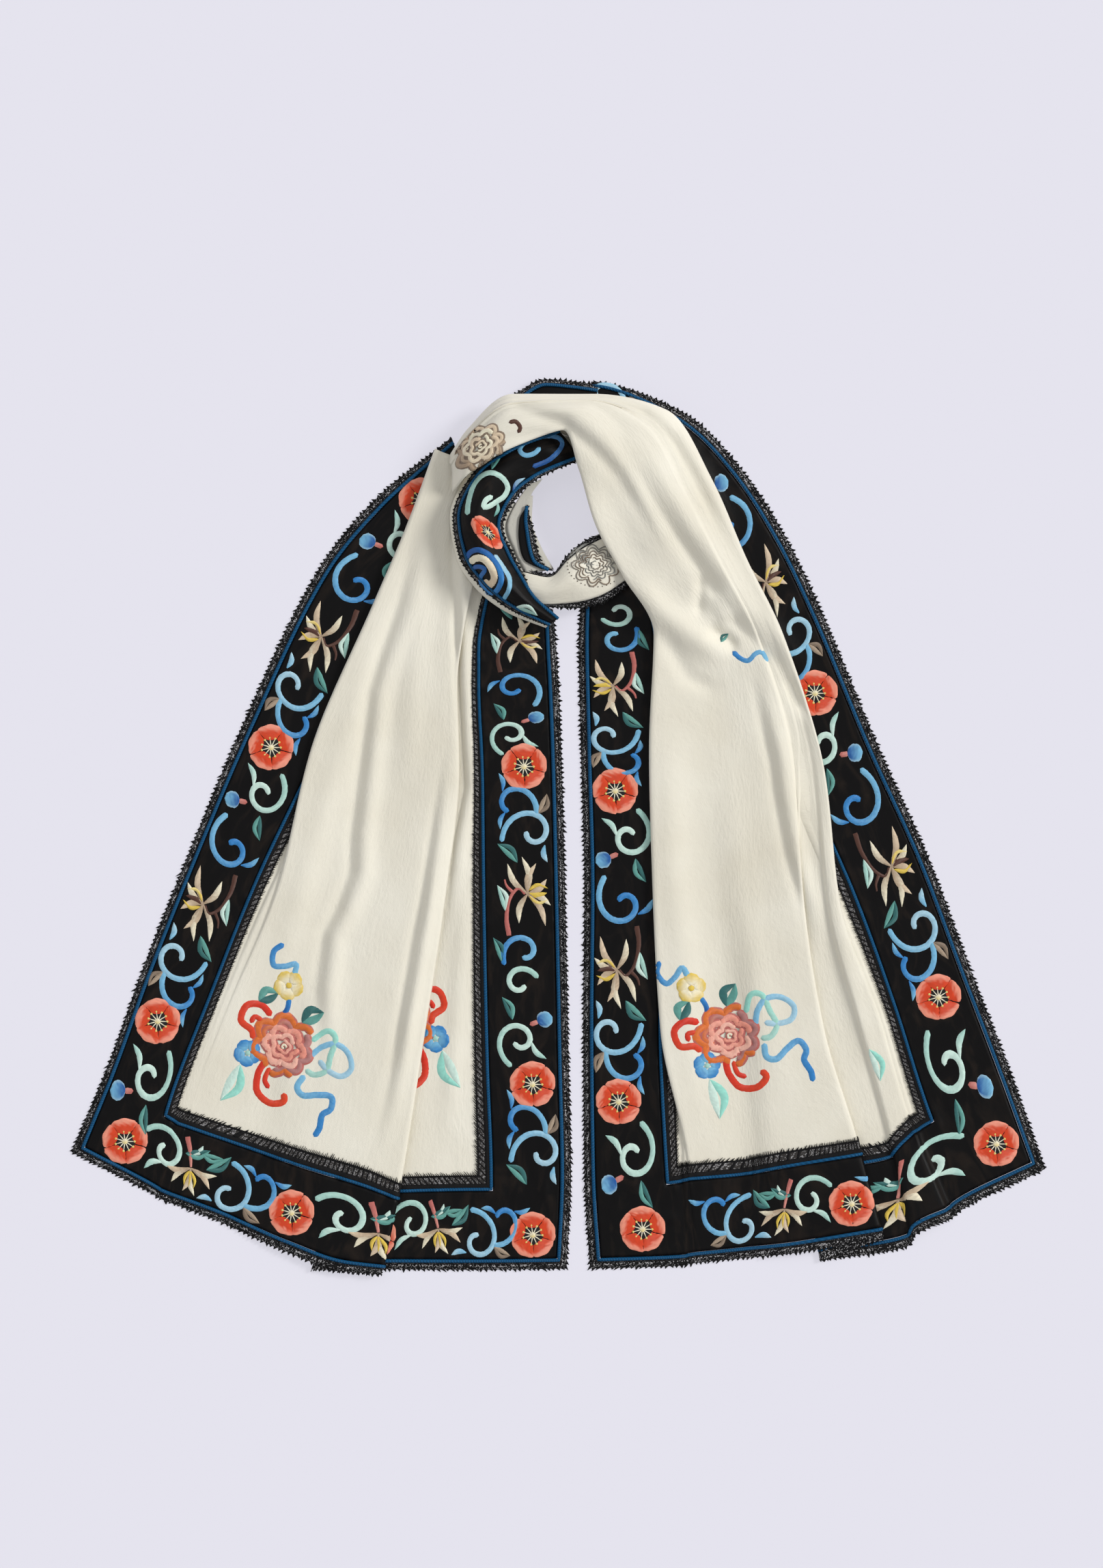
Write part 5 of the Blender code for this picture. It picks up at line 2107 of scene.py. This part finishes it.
@dataclass
class Stretch:
    """A stretch of the loop or back: one cloth cut lengthwise into strips."""

    name: str
    cloth: Cloth
    finishes: Finishes
    cell: float = 2.5
    shown: float = 0.7

    def strip(
        self, strip: str, start: float, end: float, material: bpy.types.Material,
        slot: Slot, nodes: Sequence[str],
    ) -> bpy.types.Object:
        """Lays one strip of cloth along the stretch.

        Args:
            strip: The strip's name.
            start: Its first edge, across the stretch.
            end: Its second edge.
            material: Its finish.
            slot: Not used.
            nodes: The solids that it stands for.

        Returns:
            The piece.
        """
        inside = [place for place in self.cloth.sheet.across if start < place < end]
        across = spaced([start, *inside, end], self.cell)
        along = spaced(self.cloth.sheet.stations, self.cell)
        piece = lay_cloth(f"{self.name}_{strip}", self.cloth, across, along)
        dress(piece, material, nodes)
        return piece

    def cord(self, strip: str, inset: float, nodes: Sequence[str]) -> bpy.types.Object:
        """Lays one line of piping along the stretch."""
        path = ((inset, 0.0), (inset, self.cloth.length))
        piece = lay_cord(f"{self.name}_{strip}_cord", self.cloth, path, radius=1.55, lift=0.7)
        return dress(piece, self.finishes.piping, nodes)

    def lace(
        self, strip: str, worker: Callable, nodes: Sequence[str], far: bool = False
    ) -> bpy.types.Object:
        """Works one line of lace along the stretch, from its near or far edge."""
        edge, inset_edge = (self.cloth.width - inset if far else inset for inset in (0.0, 1.0))
        length = self.cloth.length
        piece = worker(
            f"{self.name}_{strip}_edging", self.cloth, ((edge, 0.0), (edge, length)),
            ((inset_edge, 0.0), (inset_edge, length)),
        )
        return dress(piece, self.finishes.lace, nodes)

    def embroider(self, strip: str, spots: Sequence[Spot], slot: Slot) -> None:
        """Works motifs on the stretch."""
        needle = Needlework(self.cloth)
        needle.work_spots(spots)
        dress(needle.finish(f"{self.name}_{strip}"), self.finishes.silk, [])


@dataclass
class Neck:
    """The loop round the neck hole and the border that shows behind it."""

    lie: Lie
    finishes: Finishes

    def __post_init__(self) -> None:
        """Lays out every stretch."""
        seams = [Pucker(OUTER_CORD, True, 0.3), Pucker(INNER_CORD, True, 0.4)]
        self.left = self.stretch("loop_left", LOOP_STATIONS, LOOP_RIDGES, seams)
        self.bottom = self.stretch("loop_bottom", BOTTOM_STATIONS, BOTTOM_RIDGES)
        self.inside = self.stretch("loop_inside", INSIDE_STATIONS, INSIDE_RIDGES)
        self.second = self.stretch("second_turn", SECOND_STATIONS, SECOND_RIDGES)
        self.back = self.stretch("back_arch", BACK_STATIONS, BACK_RIDGES)

    def stretch(
        self, name: str, stations: Sequence[float], ridges: Sequence[Ridge],
        seams: Sequence[Pucker] = (),
    ) -> Stretch:
        """One stretch laid out from its ridges."""
        begun = [station - stations[0] for station in stations]
        cloth = Cloth(ridged_sheet(begun, ridges), self.lie, seams, 2.0)
        return Stretch(name, cloth, self.finishes)

    def build(self) -> None:
        """Builds the stretches."""
        # reverse is the darker wool, painted shade for the cloth deep inside the loop.
        wool, reverse = self.finishes.wool, self.finishes.reverse
        satin = self.finishes.satin
        self.left.strip(
            "satin", PIPING_EDGE, SATIN_EDGE, satin, Slot.SATIN, ["loop_left_satin_band"]
        )
        self.left.strip(
            "wool_edge", INNER_CORD, self.left.cloth.width, wool, Slot.WOOL, ["loop_left_wool"]
        )
        self.left.cord("outer_piping", OUTER_CORD, ["loop_left_outer_piping"])
        self.left.cord("inner_piping", INNER_CORD, ["loop_left_inner_piping"])
        self.left.lace("picot_lace", picot_lace, ["loop_left_picot_lace"])
        self.left.lace("insertion_lace", insertion_lace, ["loop_left_insertion_lace"])
        self.left.embroider("embroidery", loop_spots(), Slot.SATIN)
        self.bottom.strip(
            "reverse", LACE_EDGE, self.bottom.cloth.width - LACE_EDGE, wool, Slot.WOOL,
            ["loop_bottom_wool"],
        )
        self.bottom.lace("upper_lace", picot_lace, ["loop_bottom_upper_lace"])
        self.bottom.lace("lower_lace", picot_lace, ["loop_bottom_lower_lace"], far=True)
        self.bottom.embroider("stitching_back", [stitching_back()], Slot.WOOL)
        # The strip inside the hole takes the darker wool as painted shade.
        self.inside.strip(
            "reverse", 0.0, self.inside.cloth.width, reverse, Slot.WOOL, ["loop_inside_wool"]
        )
        self.second.strip("satin", LACE_EDGE, self.second.cloth.width, satin, Slot.SATIN, [])
        self.second.cord("piping", OUTER_CORD, [])
        self.second.lace("picot_lace", picot_lace, [])
        self.back.strip(
            "satin", PIPING_EDGE, self.back.cloth.width, satin, Slot.SATIN,
            ["back_satin_band"],
        )
        self.back.cord("piping", OUTER_CORD, ["back_piping"])
        self.back.lace("picot_lace", picot_lace, ["back_picot_lace"])
        self.build_layers()

    def build_layers(self) -> None:
        """Folds the hidden cloth under the loop."""
        along = np.array(LOOP_STATIONS[2:6], float)
        band = self.left.cloth.sheet.place(np.array(LAYERS_UNDER_BAND), along)
        start = INSIDE_STATIONS[1] - along[0]
        strip = self.inside.cloth.sheet.place(
            np.array([0.0, self.inside.cloth.width]), along + start
        )[::-1]
        down = np.array([0.0, 0.0, UNDER_BAND])
        self.heap("loop_left_layers", along - along[0], np.concatenate([strip, band]) - down)
        bottom = self.bottom.cloth
        stations = np.array(bottom.sheet.stations)
        inset = np.array([LACE_EDGE, bottom.width / 2, bottom.width - LACE_EDGE])
        self.heap("loop_bottom_layers", stations, bottom.sheet.place(inset, stations) - down)
        for name, rows in (("loop_right", RIGHT_LAYERS), ("loop_back", BACK_LAYERS)):
            tops = []
            for place, share in enumerate((0.0, 0.5, 1.0)):
                tops.append([
                    (*np.array(inner) * (1 - share) + np.array(outer) * share, heights[place])
                    for inner, outer, heights in rows
                ])
            self.heap(f"{name}_layers", np.arange(len(rows)) * 20.0, np.array(tops))

    def heap(self, node: str, stations: np.ndarray, tops: np.ndarray) -> None:
        """Lays one heap of folded cloth in place of its solid."""
        sheet = heaped_sheet(stations, tops)
        folded = Stretch(f"{node}_cloth", Cloth(sheet, Lie(())), self.finishes, 2.0, 0.9)
        # The hidden folds take the darker wool as painted shade.
        folded.strip("folds", 0.0, sheet.width, self.finishes.reverse, Slot.WOOL, [node])


@dataclass
class Studio:
    """A plain pale floor, soft light from the upper left, and the camera overhead."""

    middle: tuple[float, float] = (-0.006, 0.0378)
    view_height: float = 1.378
    camera_height: float = 6.0
    floor_size: float = 12.0
    floor_drop: float = 0.0004

    def build(self) -> None:
        """Builds the floor, the lights and the camera."""
        self.build_floor()
        self.build_lights()
        self.build_camera()

    def build_floor(self) -> None:
        """A wide plain floor just under the cloth."""
        pattern = bmesh.new()
        bmesh.ops.create_grid(pattern, x_segments=1, y_segments=1, size=self.floor_size / 2)
        bmesh.ops.translate(pattern, vec=(0.0, 0.0, -self.floor_drop), verts=pattern.verts)
        mesh = bpy.data.meshes.new("studio_floor")
        pattern.to_mesh(mesh)
        pattern.free()
        floor = bpy.data.objects.new("studio_floor", mesh)
        bpy.context.scene.collection.objects.link(floor)
        mesh.materials.append(FloorFinish().make())

    def add_sun(
        self, name: str, place: tuple[float, float, float], softness: float, power: float,
        colour: Colour,
    ) -> None:
        """Adds a distant soft light.

        Args:
            name: The light's name.
            place: A point that it shines from.
            softness: How wide it looks from the scarf, in degrees.
            power: Its strength.
            colour: Its colour.
        """
        data = bpy.data.lights.new(name, "SUN")
        data.angle = math.radians(softness)
        data.energy = power
        data.color = colour
        light = bpy.data.objects.new(name, data)
        light.location = place
        light.rotation_euler = (-Vector(place)).to_track_quat("-Z", "Y").to_euler()
        bpy.context.scene.collection.objects.link(light)

    def build_lights(self) -> None:
        """A soft key from the upper left, a weak fill and a pale surround."""
        self.add_sun("key", (2.5, 0.95, 1.75), 16.0, 2.4, (1.0, 0.99, 0.965))
        self.add_sun("fill", (-2.0, 1.6, 2.6), 50.0, 0.4, (0.96, 0.98, 1.0))
        world = bpy.data.worlds.new("pale surround")
        world.use_nodes = True
        surround = world.node_tree.nodes["Background"]
        surround.inputs["Color"].default_value = (0.97, 0.975, 1.0, 1.0)
        surround.inputs["Strength"].default_value = 0.5
        scene = bpy.context.scene
        scene.world = world
        scene.view_settings.view_transform = "Standard"

    def build_camera(self) -> None:
        """A long lens straight above, framed as the picture is."""
        data = bpy.data.cameras.new("overhead")
        data.sensor_fit = "VERTICAL"
        data.angle = 2 * math.atan(self.view_height / 2 / self.camera_height)
        data.clip_end = self.floor_size * 2
        camera = bpy.data.objects.new("overhead", data)
        camera.location = (*self.middle, self.camera_height)
        bpy.context.scene.collection.objects.link(camera)
        bpy.context.scene.camera = camera


CREASES = (
    # Left tail, main valley.
    Crease(4.5, 9, 11, (
        (-115, 295), (-129, 244), (-140, 197), (-158, 146), (-166, 120), (-175, 41), (-181, -7),
        (-182, -39), (-194, -71), (-206, -93), (-212, -142), (-210, -178), (-211, -209),
        (-219, -245))),
    # Left tail, panel beside pleat.
    Crease(3.5, 7, 8, (
        (-99, 88), (-106, 31), (-120, -65), (-128, -104), (-144, -201), (-154, -252), (-168, -298))),
    # Left tail upper pocket.
    Crease(4.0, 6, 8, (
        (-78, 343), (-87, 307), (-93, 247), (-90, 187), (-89, 127), (-87, 91), (-84, 35),
        (-93, -11), (-98, -53), (-106, -125))),
    # Left tail, near left edge.
    Crease(2.5, 12, 0, (
        (-154, 199), (-172, 127), (-196, 49), (-218, -29), (-238, -101), (-254, -161))),
    # Left tail, low left.
    Crease(2.2, 12, 0, (
        (-190, -113), (-208, -161), (-232, -209), (-248, -257))),
    # Left tail, low middle.
    Crease(2.2, 6, 0, (
        (-106, -23), (-117, -113), (-130, -173), (-136, -233))),
    # Left tail right strip.
    Crease(2.4, 9, 0, (
        (-76, 7), (-82, -71), (-87, -143), (-94, -233), (-99, -293))),
    # Left tail top middle.
    Crease(3.0, 13, 0, (
        (-106, 271), (-116, 217), (-124, 157), (-130, 91), (-136, 19))),
    # Right main valley.
    Crease(5.0, 11, 16, (
        (27, 357), (51, 335), (68, 310), (86, 280), (104, 253), (126, 223), (141, 202),
        (157, 179), (176, 159), (194, 140), (202, 120), (207, 104))),
    # Right lobe.
    Crease(8.0, 13, 0, (
        (52, 221), (68, 211), (88, 190), (116, 169), (140, 152), (156, 139))),
    # Right lobe foot.
    Crease(-3.0, 7, 0, (
        (86, 178), (100, 156), (114, 131), (134, 122), (150, 127))),
    # Right small bend.
    Crease(-4.5, 5, 0, (
        (126, 224), (124, 205), (122, 182))),
    # Right puff.
    Crease(5.0, 9, 0, (
        (136, 209), (146, 193), (153, 178))),
    # Right pocket.
    Crease(-6.0, 6, 0, (
        (128, 175), (146, 166), (160, 154))),
    # Right below lobe.
    Crease(4.0, 8, 10, (
        (164, 142), (173, 120), (180, 88), (187, 58), (190, 32), (200, -23), (214, -71),
        (222, -125))),
    # Right roll end.
    Crease(-4.0, 6, 0, (
        (200, 136), (208, 115), (218, 100), (227, 97))),
    # Right left panel.
    Crease(2.5, 12, 0, (
        (100, 121), (98, 55), (100, -29), (110, -113), (118, -209), (128, -281))),
    # Right middle.
    Crease(2.6, 15, 0, (
        (146, 97), (150, 19), (158, -65), (172, -137), (188, -209), (200, -263))),
    # Right outer strip.
    Crease(2.6, 9, 0, (
        (224, 55), (232, -11), (244, -83), (262, -161), (280, -233))),
    # Wrap fold 1.
    Crease(4.0, 10, 12, (
        (-70, 343), (-34, 365), (3, 353), (30, 331), (52, 307), (74, 271), (94, 235))),
    # Wrap fold 2.
    Crease(3.0, 9, -10, (
        (-76, 331), (-46, 337), (-16, 343), (8, 331), (20, 307), (30, 277))),
    # Wrap shade.
    Crease(-3.0, 14, 0, (
        (38, 313), (50, 283), (64, 247), (82, 217))),
    # Wrap top edge fold.
    Crease(3.0, 8, 9, (
        (2, 373), (38, 371), (74, 361), (100, 337), (118, 307), (136, 271), (152, 235))),
)

LEFT_RUNS = (
    Run("first", 614, 416, "long"), Run("first", 416, 140, "long"),
    Run("first", 140, 54, "scroll"),
    Run("hem", 40, 214, "short"), Run("hem", 214, 398, "short"), Run("hem", 398, 528, "short"),
    Run("far", 31, 66, "flower"), Run("far", 74, 160, "end"), Run("far", 160, 433, "doubled"),
    Run("far", 433, 695, "long"),
)
RIGHT_RUNS = (
    Run("far", 990, 728, "long"), Run("far", 728, 480, "long"), Run("far", 480, 183, "long"),
    Run("far", 183, 60, "scroll"),
    Run("hem", 480, 233, "short"), Run("hem", 233, 90, "short"), Run("hem", 45, 80, "flower"),
    Run("first", 669, 387, "doubled"), Run("first", 387, 134, "long"),
    Run("first", 134, 60, "scroll"),
)
BEIGE_FLOWER = full_flower(
    (Silk.FAWN, Silk.SAND), (Silk.CREAM, Silk.SAND), Silk.CREAM, Silk.TAUPE, 0.85
)
LEFT_SPOTS = (
    Spot(167, 150, -43, (1, 1), bouquet()),
    Spot(385, 190, 40, (-1, 1), bouquet()),
)
RIGHT_SPOTS = (
    Spot(150, 183, 0, (1, 1), bouquet()),
    plain_spot(384, 148, *leaf((-4, 14), (6, -14), 12, Silk.AQUA, Silk.PALE_MINT)),
    plain_spot(212, 515, ribbon(((-14, 4), (-7, -2), (0, -4), (6, 2), (12, 3), (17, -5)),
                                Silk.BLUE, Silk.SKY, 4.5)),
    plain_spot(172, 532, *leaf((-3, -4), (4, 4), 6, Silk.DEEP_TEAL, Silk.TEAL)),
    Spot(133, 876, 40, (1, 0.8), BEIGE_FLOWER),
    plain_spot(133, 846, ribbon(((-5, 4), (1, 5), (5, 0), (3, -5)), Silk.BROWN, Silk.BROWN, 4)),
)


def main() -> None:
    """Builds the scarf piece by piece."""
    logging.basicConfig(level=logging.INFO, format="%(name)s: %(message)s")
    Studio().build()
    finishes = Finishes()
    lie = Lie(CREASES)
    left = Tail(
        "left_tail", folded_sheet(LEFT_STATIONS, LEFT_CLIMB, LEFT_FOLDS), lie, finishes,
        "outer", "inner", LEFT_STATIONS[-1], LEFT_STATIONS[-1], ("left_tail_wool",), 0.8,
        LEFT_RUNS, LEFT_SPOTS,
    )
    right = Tail(
        "right_tail", folded_sheet(RIGHT_STATIONS, RIGHT_CLIMB, RIGHT_FOLDS), lie, finishes,
        "inner", "outer", SHOWN_INNER_BORDER, BACK_BORDER_END,
        ("right_tail_wool", "wrap_wool"), 0.75, RIGHT_RUNS, RIGHT_SPOTS,
    )
    left.build()
    right.build()
    Neck(lie, finishes).build()


if __name__ == "__main__":
    main()
